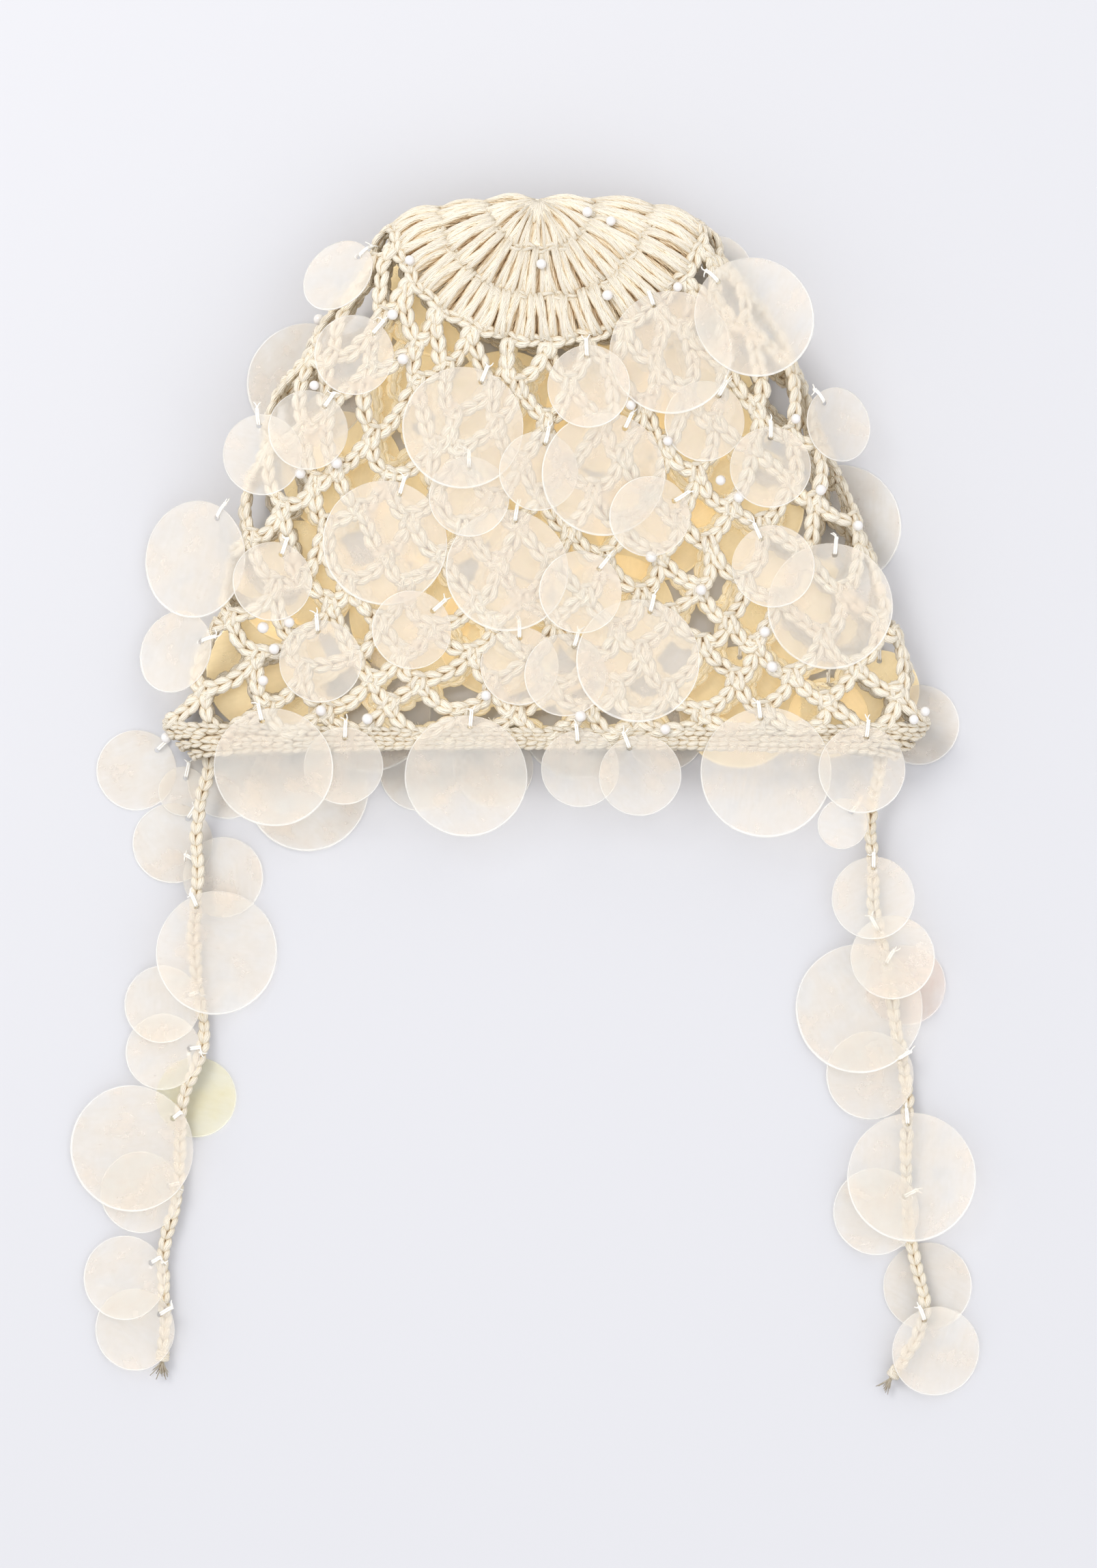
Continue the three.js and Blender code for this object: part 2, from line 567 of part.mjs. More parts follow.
// Top of the hat at (x, y), or nothing outside its outline
function hatTop(x, y) {
  const here = section(y);
  const middle = (here.right - here.left) / 2;
  const half = (here.right + here.left) / 2;
  const share = Math.abs(x - middle) / half;
  if (share > 1) return -Infinity;
  const edge = SIDE_LOW + (MIDDLE_LOW - SIDE_LOW) * Math.sqrt(1 - share * share);
  if (y < edge - EDGE_MARGIN || y > topLine(x, 0)) return -Infinity;
  return HAT_FLOOR + here.half + halfHeight(x, y, 0);
}

// Everything that a disc can come to lie on, as functions from (x, y) to a height
const supports = [() => 0, hatTop];
const rims = [];

function supportBack(x, y) {
  const over = BACK_FIELD.some((disc) => Math.hypot(x - disc.x, y - disc.y) < disc.radius);
  return over ? BACK_THICKNESS : -Infinity;
}
supports.push(supportBack);

function addCordSupport(curve) {
  const points = curve.getSpacedPoints(CORD_SAMPLES);
  const radius = CORD_DIAMETER / 2;
  supports.push((x, y) => {
    let height = -Infinity;
    for (const point of points) {
      const distance = Math.hypot(x - point.x, y - point.y);
      if (distance < radius) {
        height = Math.max(height, point.z + Math.sqrt(radius * radius - distance * distance));
      }
    }
    return height;
  });
  rims.push(points.map((point) => point.clone().setZ(point.z + radius)));
}

// Smallest value of a function that has one valley
function valley(cost, limit) {
  let low = -limit;
  let high = limit;
  for (let step = 0; step < VALLEY_STEPS; step += 1) {
    const third = (high - low) / 3;
    if (cost(low + third) < cost(high - third)) {
      high -= third;
    } else {
      low += third;
    }
  }
  return (low + high) / 2;
}

// Plane on which a disc comes to rest: lowest at its middle, drawn down at its hole
function restingPlane(x, y, radius, holeAngle, slope) {
  const reach = (radius - HOLE_MARGIN) * THREAD_PULL;
  const pull = [reach * Math.cos(holeAngle), reach * Math.sin(holeAngle)];
  const samples = [];
  const margin = radius + CONTACT_MARGIN;
  const sample = (dx, dy) => {
    samples.push([dx, dy, Math.max(...supports.map((support) => support(x + dx, y + dy)))]);
  };
  for (let dx = -margin; dx <= margin; dx += CONTACT_STEP) {
    for (let dy = -margin; dy <= margin; dy += CONTACT_STEP) {
      if (Math.hypot(dx, dy) <= margin) sample(dx, dy);
    }
  }
  for (let i = 0; i < RIM_SAMPLES; i += 1) {
    const angle = (i / RIM_SAMPLES) * 2 * Math.PI;
    sample(margin * Math.cos(angle), margin * Math.sin(angle));
  }
  for (const point of rims.flat()) {
    const dx = point.x - x;
    const dy = point.y - y;
    if (Math.hypot(dx, dy) < margin) samples.push([dx, dy, point.z]);
  }
  const lift = (b, c) => Math.max(...samples.map((s) => s[2] - b * s[0] - c * s[1]));
  const cost = (b, c) => lift(b, c) + b * pull[0] + c * pull[1];
  const bestC = (b) => valley((c) => cost(b, c), slope);
  const b = valley((value) => cost(value, bestC(value)), slope);
  const c = bestC(b);
  return { b, c, height: lift(b, c) + CLEARANCE };
}

// Mesh of one disc resting at (x, y), which then carries the discs after it
function layDisc(name, x, y, radius, holeAngle, slope) {
  const plane = restingPlane(x, y, radius, holeAngle, slope);
  const up = new THREE.Vector3(0, 0, 1);
  const normal = new THREE.Vector3(-plane.b, -plane.c, 1).normalize();
  const mesh = new THREE.Mesh(discGeometry(radius), new THREE.MeshStandardMaterial(SHELL));
  mesh.name = name;
  mesh.position.set(x, y, plane.height);
  mesh.quaternion.setFromUnitVectors(up, normal);
  mesh.quaternion.multiply(new THREE.Quaternion().setFromAxisAngle(up, holeAngle));
  const thickness = DISC_THICKNESS / normal.z;
  supports.push((px, py) => {
    const over = Math.hypot(px - x, py - y) < radius;
    return over ? plane.height + plane.b * (px - x) + plane.c * (py - y) + thickness : -Infinity;
  });
  rims.push(ring(radius, RIM_SAMPLES, 0, 0).map((p) => {
    const z = plane.height + plane.b * p.x + plane.c * p.y + thickness;
    return new THREE.Vector3(x + p.x, y + p.y, z);
  }));
  return mesh;
}

function layTieDiscs(side, curve, rows, under) {
  const meshes = [];
  rows.forEach((row, i) => {
    if (row.under !== under) return;
    const radius = row.radius * row.scale;
    const tied = curve.getPointAt(row.at);
    const angle = THREE.MathUtils.degToRad(row.hang);
    const x = tied.x + row.away * radius * Math.cos(angle);
    const y = tied.y + row.away * radius * Math.sin(angle);
    meshes.push(layDisc(`tie_${side}_disc_${i + 1}`, x, y, radius, angle + Math.PI, TIE_SLOPE));
  });
  return meshes;
}

function meshOf(name, geometry, look) {
  const mesh = new THREE.Mesh(geometry, new THREE.MeshStandardMaterial(look));
  mesh.name = name;
  return mesh;
}

const hat = new THREE.Group();
hat.add(meshOf('crown', crownGeometry(), YARN));
hat.add(meshOf('net', netGeometry(), YARN));
hat.add(meshOf('brim', brimGeometry(), YARN));
hat.add(meshOf('back_discs', backGeometry(), SHELL));
FRONT_DISCS.forEach((row, i) => {
  const name = `front_disc_${String(i + 1).padStart(2, '0')}`;
  const angle = THREE.MathUtils.degToRad(row.hole);
  const x = row.across * HALF_WIDTH;
  const y = row.up * HAT_HEIGHT;
  hat.add(layDisc(name, x, y, row.radius * row.scale, angle, row.slope));
});

const ties = new THREE.Group();
const TIES = [
  { side: 'left', route: LEFT_ROUTE, discs: LEFT_TIE_DISCS },
  { side: 'right', route: RIGHT_ROUTE, discs: RIGHT_TIE_DISCS },
];
for (const tie of TIES) {
  const curve = routeCurve(tie.route);
  layTieDiscs(tie.side, curve, tie.discs, true).forEach((mesh) => ties.add(mesh));
  ties.add(meshOf(`tie_${tie.side}`, cordGeometry(curve), YARN));
  addCordSupport(curve);
  layTieDiscs(tie.side, curve, tie.discs, false).forEach((mesh) => ties.add(mesh));
}

// Origin under the middle of the hat and its discs, at the surface they lie on
const box = new THREE.Box3().setFromObject(hat, true);
const bonnet = new THREE.Group();
bonnet.add(hat, ties);
bonnet.position.set(-(box.min.x + box.max.x) / 2, -(box.min.y + box.max.y) / 2, -box.min.z);

export default bonnet;
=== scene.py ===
"""Crocheted cotton bonnet with windowpane-shell discs, lying on its back. Metres, Z up, Y towards the crown.
Stitches, threads and pearls are laid out in mm, in the hat's own coordinates."""

import math

import bpy
import numpy as np
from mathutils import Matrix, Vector


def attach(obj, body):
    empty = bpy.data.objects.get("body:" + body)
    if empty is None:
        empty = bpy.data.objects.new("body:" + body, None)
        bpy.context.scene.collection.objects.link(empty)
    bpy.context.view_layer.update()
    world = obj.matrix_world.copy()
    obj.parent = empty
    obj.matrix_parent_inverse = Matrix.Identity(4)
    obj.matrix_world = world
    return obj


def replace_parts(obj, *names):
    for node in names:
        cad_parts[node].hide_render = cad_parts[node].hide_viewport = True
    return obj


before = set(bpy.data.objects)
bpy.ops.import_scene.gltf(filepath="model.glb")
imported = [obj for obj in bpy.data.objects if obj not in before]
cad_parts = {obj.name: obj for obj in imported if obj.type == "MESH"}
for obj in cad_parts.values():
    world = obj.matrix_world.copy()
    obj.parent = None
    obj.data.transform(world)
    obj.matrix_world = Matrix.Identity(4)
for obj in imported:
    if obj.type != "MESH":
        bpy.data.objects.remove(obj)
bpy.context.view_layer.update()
rng = np.random.default_rng(7)

MM = 0.001
PHOTO_SIZE = (1607, 2296)  # pixels
PIXELS_A_MM = 4
BRIM_ROW = 1127  # the photograph's row of pixels at the brim line
# The hat's own coordinates, in mm: y = 0 at the brim line, x = 0 under the middle of the photograph
SHIFT = np.array([7.614, -83.446, 0.0])
UP = np.array([0.0, 0.0, 1.0])


def to_frame(points):
    """Hat coordinates in mm to the frame in metres."""
    return (np.asarray(points, float) + SHIFT) * MM


def photo(x, y):
    """A pixel of the photograph in hat coordinates, in mm."""
    return (x - PHOTO_SIZE[0] / 2) / PIXELS_A_MM, (BRIM_ROW - y) / PIXELS_A_MM


# Camera: straight down on the whole frame of the photograph
CAMERA_HEIGHT = 2.6
SCALE_HEIGHT = 0.012  # height at which the view is as large as the photograph
SENSOR = 36
cam = bpy.data.objects.new("camera", bpy.data.cameras.new("camera"))
cam.data.sensor_width = SENSOR
cam.data.lens = SENSOR * (CAMERA_HEIGHT - SCALE_HEIGHT) / (PHOTO_SIZE[1] / PIXELS_A_MM * MM)
cam.data.clip_start = 0.05
cam.data.clip_end = 50
photo_middle = to_frame([*photo(PHOTO_SIZE[0] / 2, PHOTO_SIZE[1] / 2), 0])
cam.location = (photo_middle[0], photo_middle[1], CAMERA_HEIGHT)
bpy.context.scene.collection.objects.link(cam)
bpy.context.scene.camera = cam


# Meshes

def make(name, verts, faces, mat, uv, tag=None):
    """One mesh object riding on the hat. verts are in hat coordinates; uv is one pair for each corner of each
    face, and tag one value a vertex."""
    mesh = bpy.data.meshes.new(name)
    faces = np.asarray(faces)
    size = faces.shape[1]
    mesh.vertices.add(len(verts))
    mesh.vertices.foreach_set("co", to_frame(verts).astype(np.float32).ravel())
    mesh.loops.add(faces.size)
    mesh.loops.foreach_set("vertex_index", faces.astype(np.int32).ravel())
    mesh.polygons.add(len(faces))
    mesh.polygons.foreach_set("loop_start", np.arange(0, faces.size, size, dtype=np.int32))
    mesh.uv_layers.new(name="UVMap").data.foreach_set("uv", np.asarray(uv, np.float32).ravel())
    if tag is not None:
        mesh.attributes.new("tag", "FLOAT", "POINT").data.foreach_set("value", np.asarray(tag, np.float32))
    mesh.update()
    mesh.validate()
    mesh.polygons.foreach_set("use_smooth", np.full(len(mesh.polygons), True))
    mesh.materials.append(mat)
    piece = bpy.data.objects.new(name, mesh)
    bpy.context.scene.collection.objects.link(piece)
    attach(piece, "root")
    return piece


def unit(v):
    """Vectors at length 1."""
    return v / np.maximum(np.linalg.norm(v, axis=-1, keepdims=True), 1e-9)


def tubes(path, wide, deep, up, sides):
    """Closed tubes, all with the same number of rings. path is (tubes, rings, 3); wide and deep are half-widths
    at each ring, across and along up. Returns vertices, quads and a uv pair a corner: u round the yarn, v along it
    in mm from a place of its own."""
    count, rings, _ = path.shape
    wide = np.broadcast_to(wide, (count, rings))
    deep = np.broadcast_to(deep, (count, rings))
    path = path.copy()
    path[..., 2] = np.maximum(path[..., 2], np.maximum(wide, deep) * 0.95 + 0.05)  # above the floor
    tangent = unit(np.gradient(path, axis=1))
    side = unit(np.cross(tangent, up))
    normal = np.cross(side, tangent)
    turn = np.arange(sides) / sides * 2 * math.pi
    ring = (
        path[:, :, None]
        + side[:, :, None] * (wide[..., None, None] * np.cos(turn)[:, None])
        + normal[:, :, None] * (deep[..., None, None] * np.sin(turn)[:, None])
    )
    verts = ring.reshape(-1, 3)
    i, j = np.meshgrid(np.arange(rings - 1), np.arange(sides), indexing="ij")
    k = (j + 1) % sides
    walls = np.stack([i * sides + j, i * sides + k, (i + 1) * sides + k, (i + 1) * sides + j], -1).reshape(-1, 4)
    ends = []
    for base, flip in ((0, True), ((rings - 1) * sides, False)):
        for a in range(1, sides - 2, 2):
            face = [base, base + a, base + a + 1, base + a + 2]
            ends.append(face[::-1] if flip else face)
    ends = np.array(ends)
    steps = np.linalg.norm(np.diff(path, axis=1), axis=2)
    along = np.concatenate([np.zeros((count, 1)), np.cumsum(steps, axis=1)], axis=1)
    along = along + rng.uniform(0, 50, (count, 1))
    around = np.stack([j, j + 1, j + 1, j], -1).reshape(-1, 4) / sides
    u = np.concatenate([around, np.zeros((len(ends), 4))])
    row = np.concatenate([np.stack([i, i, i + 1, i + 1], -1).reshape(-1, 4), ends // sides])
    uv = np.stack([np.broadcast_to(u, (count, *u.shape)), along[:, row]], -1)
    faces = np.concatenate([walls, ends])[None] + (np.arange(count) * rings * sides)[:, None, None]
    return verts, faces.reshape(-1, 4), uv.reshape(-1, 2)


def join(parts):
    """Several results of tubes() as one."""
    verts, faces, uv, start = [], [], [], 0
    for v, f, t in parts:
        verts.append(v)
        faces.append(f + start)
        uv.append(t)
        start += len(v)
    return np.concatenate(verts), np.concatenate(faces), np.concatenate(uv)


# The hat's surface, as in the frame

HAT_HEIGHT = 209.0
HALF_WIDTH = 141.0
WALL = 4.0
MID_WALL = WALL / 2  # inset of the wall's middle from the outside
MOUTH_GAP = 9.5  # clear depth at the mouth
CROWN_GAP = 27.0  # clear depth in the crown
HAT_FLOOR = 1.95  # height of the hat's underside, over the shells it lies on
TOP_CURVE = 2.5  # power of the crown's outline
EDGE_ROUNDING = 1.15  # width of the rounded edge as a share of the half-height
# Share of the height, half-widths to the left and right as shares of HALF_WIDTH, share of the way from MOUTH_GAP
# to CROWN_GAP
HIGH, LEFT, RIGHT, GAP = range(4)
SECTIONS = np.array([
    (0.02, 0.93, 0.91, 0), (0.075, 1.0, 0.99, 0.01), (0.15, 0.955, 0.96, 0.05), (0.27, 0.865, 0.9, 0.16),
    (0.45, 0.805, 0.805, 0.4), (0.62, 0.735, 0.7, 0.66), (0.74, 0.64, 0.625, 0.85), (0.83, 0.53, 0.535, 0.96),
    (0.895, 0.46, 0.455, 1),
])
SIDE_LOW = float(SECTIONS[0, HIGH]) * HAT_HEIGHT  # where the side folds begin and end
SIDE_HIGH = float(SECTIONS[-1, HIGH]) * HAT_HEIGHT
MIDDLE_LOW = 0.043 * HAT_HEIGHT  # height of the brim's edge at the middle of the front
MIDDLE_HIGH = 155.0  # height of the crown's border there


def column(k, up):
    """A column of SECTIONS at shares of the height, on a smooth curve through its rows."""
    ups, vals = SECTIONS[:, HIGH], SECTIONS[:, k]
    row = np.clip(np.searchsorted(ups, up) - 1, 0, len(ups) - 2)
    before, after = np.maximum(row - 1, 0), np.minimum(row + 2, len(ups) - 1)
    span = ups[row + 1] - ups[row]
    s = np.clip((up - ups[row]) / span, 0, 1)
    m0 = (vals[row + 1] - vals[before]) / (ups[row + 1] - ups[before]) * span
    m1 = (vals[after] - vals[row]) / (ups[after] - ups[row]) * span
    return (
        (2 * s**3 - 3 * s**2 + 1) * vals[row] + (s**3 - 2 * s**2 + s) * m0
        + (3 * s**2 - 2 * s**3) * vals[row + 1] + (s**3 - s**2) * m1
    )


def section(y):
    """Half-widths to the left and right and the wall's outer half-height, at a height y."""
    up = np.asarray(y, float) / HAT_HEIGHT
    gap = MOUTH_GAP + (CROWN_GAP - MOUTH_GAP) * column(GAP, up)
    return column(LEFT, up) * HALF_WIDTH, column(RIGHT, up) * HALF_WIDTH, gap / 2 + WALL


_left, _right, _ = section(SIDE_HIGH)
CROWN_HALF = float(_left + _right) / 2
CROWN_MIDDLE = float(_right - _left) / 2


def top_line(x, inset):
    """Height of the fold over the crown at x, inset from the outside."""
    share = np.minimum(np.abs(x - CROWN_MIDDLE) / (CROWN_HALF - inset), 1)
    return SIDE_HIGH + (HAT_HEIGHT - inset - SIDE_HIGH) * (1 - share**TOP_CURVE) ** (1 / TOP_CURVE)


def half_height(x, y, inset):
    """Half of the hat's depth over (x, y), inset from the outside: 0 along its outline."""
    left, right, half = section(y)
    from_side = np.maximum((right + left) / 2 - inset - np.abs(x - (right - left) / 2), 0)
    from_top = np.maximum(top_line(x, inset) - y, 0)
    distance = from_side * from_top / np.maximum(np.hypot(from_side, from_top), 1e-9)
    s = np.clip(distance / (half * EDGE_ROUNDING), 0, 1)
    return (half - inset) * np.sqrt(s * (2 - s))


def surface(x, y, face, inset=MID_WALL):
    """Point of the wall's middle over (x, y); face is 1 in front and -1 behind."""
    x, y = np.asarray(x, float), np.asarray(y, float)
    return np.stack([x, y, HAT_FLOOR + section(y)[2] + face * half_height(x, y, inset)], -1)


# Rows round the hat

FOLD_TOP = 198.0  # where the crown's border meets the hat's side folds


def outline_at(y, inset):
    """Where the hat's outline is to the left and right at a height y."""
    left, right, _ = section(np.minimum(y, SIDE_HIGH))
    rise = np.clip((y - SIDE_HIGH) / (HAT_HEIGHT - inset - SIDE_HIGH), 0, 0.999)
    share = (1 - rise**TOP_CURVE) ** (1 / TOP_CURVE)
    middle = CROWN_MIDDLE * (1 - share)
    return -(left - inset) * share + middle, (right - inset) * share + middle


def round_point(row, turn):
    """Point of the wall's middle: row 0 at the brim's edge to 1 at the crown's border, turn 0 to 2 pi from the
    left fold over the front to the right fold and back behind."""
    side_y = SIDE_LOW + (FOLD_TOP - SIDE_LOW) * row
    middle_y = MIDDLE_LOW + (MIDDLE_HIGH - MIDDLE_LOW) * row**1.25
    left, right = outline_at(side_y, MID_WALL)
    x = (left + right) / 2 - np.cos(turn) * (right - left) / 2
    y = side_y - (side_y - middle_y) * np.abs(np.sin(turn))
    return surface(x, y, np.where(np.sin(turn) >= 0, 1.0, -1.0))


# TURN_AT: at each step of row and of share round it, by length, the turn
ROW_STEPS = 64
TURN_STEPS = 720
_rows = np.linspace(0, 1, ROW_STEPS)
_turns = np.linspace(0, 2 * math.pi, TURN_STEPS + 1)
_ring = round_point(_rows[:, None], _turns[None, :])
_steps = np.linalg.norm(np.diff(_ring, axis=1), axis=2)
_length = np.concatenate([np.zeros((ROW_STEPS, 1)), np.cumsum(_steps, axis=1)], axis=1)
_even = np.linspace(0, 1, TURN_STEPS + 1)
TURN_AT = np.array([np.interp(_even, line / line[-1], _turns) for line in _length])


def woven(row, share):
    """Point of the wall's middle at a row and at a share of the way round it."""
    row, share = np.broadcast_arrays(np.asarray(row, float), np.asarray(share, float))
    whole = np.floor(share)
    r = np.clip(row, 0, 1) * (ROW_STEPS - 1)
    t = (share - whole) * TURN_STEPS
    r0 = np.minimum(r.astype(int), ROW_STEPS - 2)
    t0 = np.minimum(t.astype(int), TURN_STEPS - 1)
    a = r - r0
    b = t - t0
    turn = (
        (1 - a) * ((1 - b) * TURN_AT[r0, t0] + b * TURN_AT[r0, t0 + 1])
        + a * ((1 - b) * TURN_AT[r0 + 1, t0] + b * TURN_AT[r0 + 1, t0 + 1])
    )
    return round_point(np.clip(row, 0, 1), turn)


def woven_normal(row, share):
    """Outward direction of the wall there."""
    e = 0.004
    along = woven(np.minimum(row + e, 1), share) - woven(np.maximum(row - e, 0), share)
    round_ = woven(row, share + e) - woven(row, share - e)
    return unit(np.cross(round_, along))


# Materials

COTTON_PASSED = 0.62  # share of the light that passes each side of a strand
SHELL_PASSED = 0.6  # how much less of a shell's face stands in the way of light to what lies below


def material(name):
    """A new material: its node tree and its shader."""
    mat = bpy.data.materials.new(name)
    mat.use_nodes = True
    return mat, mat.node_tree, mat.node_tree.nodes["Principled BSDF"]


def connect(tree, value, socket):
    """A number goes on the socket itself, and an output is linked to it."""
    if isinstance(value, (int, float)):
        socket.default_value = value
    else:
        tree.links.new(value, socket)


def maths(tree, operation, *values, clamp=False):
    node = tree.nodes.new("ShaderNodeMath")
    node.operation = operation
    node.use_clamp = clamp
    for socket, value in zip(node.inputs, values):
        connect(tree, value, socket)
    return node.outputs[0]


def noise(tree, vector, scale, detail, rough=0.5):
    node = tree.nodes.new("ShaderNodeTexNoise")
    node.inputs["Scale"].default_value = scale
    node.inputs["Detail"].default_value = detail
    node.inputs["Roughness"].default_value = rough
    tree.links.new(vector, node.inputs["Vector"])
    return node.outputs[0]


def ramp(tree, value, stops):
    """Colours at shares of the value's range."""
    node = tree.nodes.new("ShaderNodeValToRGB")
    tree.links.new(value, node.inputs[0])
    points = node.color_ramp.elements
    while len(points) < len(stops):
        points.new(0.5)
    for point, (at, colour) in zip(points, stops):
        point.position = at
        point.color = (*colour, 1)
    return node.outputs[0]


def relief(tree, height, strength, distance):
    node = tree.nodes.new("ShaderNodeBump")
    node.inputs["Strength"].default_value = strength
    node.inputs["Distance"].default_value = distance
    tree.links.new(height, node.inputs["Height"])
    return node.outputs[0]


def shadow_ray(tree):
    """1 for a ray that asks how much light comes through, otherwise 0."""
    return tree.nodes.new("ShaderNodeLightPath").outputs["Is Shadow Ray"]


def yarn_material(name, light, warm, hollow_shade, plies, twist, depth):
    """Soft plied cotton: fine strands run along the yarn, and its hollows are painted golden to dark brown,
    as painted shade driven by occlusion."""
    mat, tree, shader = material(name)
    coords = tree.nodes.new("ShaderNodeTexCoord")
    place = coords.outputs["Object"]
    split = tree.nodes.new("ShaderNodeSeparateXYZ")
    tree.links.new(coords.outputs["UV"], split.inputs[0])
    around = maths(tree, "MULTIPLY", split.outputs[0], plies * 2 * math.pi)
    lay = maths(tree, "MULTIPLY_ADD", split.outputs[1], twist, around)
    phase = maths(tree, "MULTIPLY_ADD", noise(tree, place, 700, 2), 6.0, lay)
    strands = maths(tree, "MULTIPLY_ADD", maths(tree, "SINE", phase), 0.5, 0.5)

    # painted shade: the more closed in the yarn is around a point, the warmer and darker its base colour
    hollow = tree.nodes.new("ShaderNodeAmbientOcclusion")
    hollow.samples = 2
    hollow.only_local = True
    hollow.inputs["Distance"].default_value = 0.005
    shade = maths(tree, "MULTIPLY_ADD", hollow.outputs["AO"], 0.66, maths(tree, "MULTIPLY", strands, 0.24))
    shade = maths(tree, "MULTIPLY_ADD", noise(tree, place, 60, 2), 0.14, shade)
    colour = ramp(tree, shade, [(0.12, hollow_shade), (0.4, warm), (0.8, light)])
    tree.links.new(colour, shader.inputs["Base Color"])

    fuzz = noise(tree, place, 5000, 2, 0.7)
    height = maths(tree, "MULTIPLY_ADD", fuzz, 0.35, strands)
    tree.links.new(relief(tree, height, 0.8, depth), shader.inputs["Normal"])
    alpha = maths(tree, "MULTIPLY_ADD", shadow_ray(tree), -COTTON_PASSED, 1.0)
    tree.links.new(alpha, shader.inputs["Alpha"])
    shader.inputs["Roughness"].default_value = 0.92
    shader.inputs["Specular IOR Level"].default_value = 0.2
    shader.inputs["Sheen Weight"].default_value = 0.2
    shader.inputs["Sheen Roughness"].default_value = 0.6
    shader.inputs["Sheen Tint"].default_value = (1.0, 0.9, 0.72, 1)
    return mat


def shell_material(name, pale, cloud, solid):
    """Windowpane shell: milky and clouded, with pearly streaks, brighter along its cut edge. solid is the least
    share of each face that isn't clear."""
    mat, tree, shader = material(name)
    flat = tree.nodes.new("ShaderNodeTexCoord").outputs["UV"]  # mm across the shell
    stretched = tree.nodes.new("ShaderNodeMapping")
    stretched.inputs["Scale"].default_value = (0.05, 0.35, 1)
    tree.links.new(flat, stretched.inputs[0])
    streaks = noise(tree, stretched.outputs[0], 2.2, 5, 0.65)
    clouds = noise(tree, flat, 0.075, 5, 0.55)
    specks = noise(tree, flat, 1.6, 3, 0.8)
    tag = tree.nodes.new("ShaderNodeAttribute")
    tag.attribute_name = "tag"
    rim = tag.outputs["Fac"]

    tone = maths(tree, "MULTIPLY_ADD", clouds, 0.8, maths(tree, "MULTIPLY", streaks, 0.3))
    tone = maths(tree, "MULTIPLY_ADD", rim, -0.3, tone)
    tree.links.new(ramp(tree, tone, [(0.42, pale), (0.78, cloud)]), shader.inputs["Base Color"])
    body = maths(tree, "MULTIPLY_ADD", clouds, 0.25, solid)
    alpha = maths(tree, "MULTIPLY_ADD", shadow_ray(tree), -SHELL_PASSED, body, clamp=True)
    tree.links.new(alpha, shader.inputs["Alpha"])
    clear = maths(tree, "MULTIPLY_ADD", clouds, -0.45, 0.95)
    clear = maths(tree, "MULTIPLY_ADD", streaks, -0.1, clear)
    clear = maths(tree, "MULTIPLY_ADD", rim, -0.3, clear, clamp=True)
    tree.links.new(clear, shader.inputs["Transmission Weight"])
    tree.links.new(maths(tree, "MULTIPLY_ADD", streaks, 0.14, 0.16), shader.inputs["Roughness"])
    height = maths(tree, "MULTIPLY_ADD", specks, 0.4, streaks)
    tree.links.new(relief(tree, height, 0.12, 0.00015), shader.inputs["Coat Normal"])
    shader.inputs["IOR"].default_value = 1.3
    shader.inputs["Coat Weight"].default_value = 0.4
    shader.inputs["Coat Roughness"].default_value = 0.2
    return mat


def pearl_material():
    mat, tree, shader = material("pearl")
    place = tree.nodes.new("ShaderNodeTexCoord").outputs["Object"]
    tint = ramp(tree, noise(tree, place, 300, 2), [(0.3, (0.74, 0.73, 0.71)), (0.7, (0.74, 0.69, 0.65))])
    tree.links.new(tint, shader.inputs["Base Color"])
    shader.inputs["Roughness"].default_value = 0.22
    shader.inputs["Coat Weight"].default_value = 0.8
    shader.inputs["Coat Roughness"].default_value = 0.06
    return mat


# each yarn's second and third colours are painted half-shade and painted shade for its hollows
YARN = yarn_material("cotton_yarn", (0.89, 0.82, 0.69), (0.88, 0.72, 0.46), (0.58, 0.31, 0.10), 11, 1.2, 0.0004)
# yarn of the back layer: a lighter, golden copy of the yarn with a painted glow, standing in for light bounced
# inside the hat
YARN_BEHIND_PAINTED_GLOW = yarn_material(
    "cotton_behind_painted_glow", (0.97, 0.88, 0.68), (0.96, 0.80, 0.50), (0.88, 0.60, 0.26), 11, 1.2, 0.0003
)
THREAD = yarn_material("white_thread", (0.93, 0.92, 0.88), (0.88, 0.83, 0.74), (0.7, 0.6, 0.45), 3, 3.0, 0.00008)
SHELL = shell_material("shell", (0.93, 0.91, 0.865), (0.89, 0.80, 0.69), 0.63)
SHELL_WARM = shell_material("shell_warm", (0.92, 0.90, 0.75), (0.88, 0.80, 0.52), 0.6)
SHELL_ROSE = shell_material("shell_rose", (0.92, 0.87, 0.83), (0.89, 0.73, 0.63), 0.6)
# shells under the hat: a golden copy of the shell with a painted glow, standing in for light bounced inside the
# hat
SHELL_BEHIND_PAINTED_GLOW = shell_material("shell_behind_painted_glow", (0.97, 0.88, 0.66), (0.95, 0.83, 0.58), 0.9)
PEARL = pearl_material()

# Painted glow: the layers behind glow golden, standing in for light that reaches them from the bright surface
# below
for mat, glow in ((YARN_BEHIND_PAINTED_GLOW, 0.26), (SHELL_BEHIND_PAINTED_GLOW, 0.13)):
    shader = mat.node_tree.nodes["Principled BSDF"]
    shader.inputs["Emission Color"].default_value = (1.0, 0.80, 0.48, 1)
    shader.inputs["Emission Strength"].default_value = glow


# Stitches


def along_line(points, normals, at):
    """Places, sideways and upward directions at distances along a line, also past its ends."""
    run = np.concatenate([[0], np.cumsum(np.linalg.norm(np.diff(points, axis=0), axis=1))])

    def pick(values, s):
        return np.stack([np.interp(s, run, values[:, k]) for k in range(3)], -1)

    before = pick(points, np.clip(at - 0.4, 0, run[-1]))
    after = pick(points, np.clip(at + 0.4, 0, run[-1]))
    ahead = unit(after - before)
    beyond = np.clip(at, 0, run[-1]) - at
    place = pick(points, at) - ahead * beyond[..., None]
    side = unit(np.cross(ahead, unit(pick(normals, at))))
    return place, side, np.cross(side, ahead)


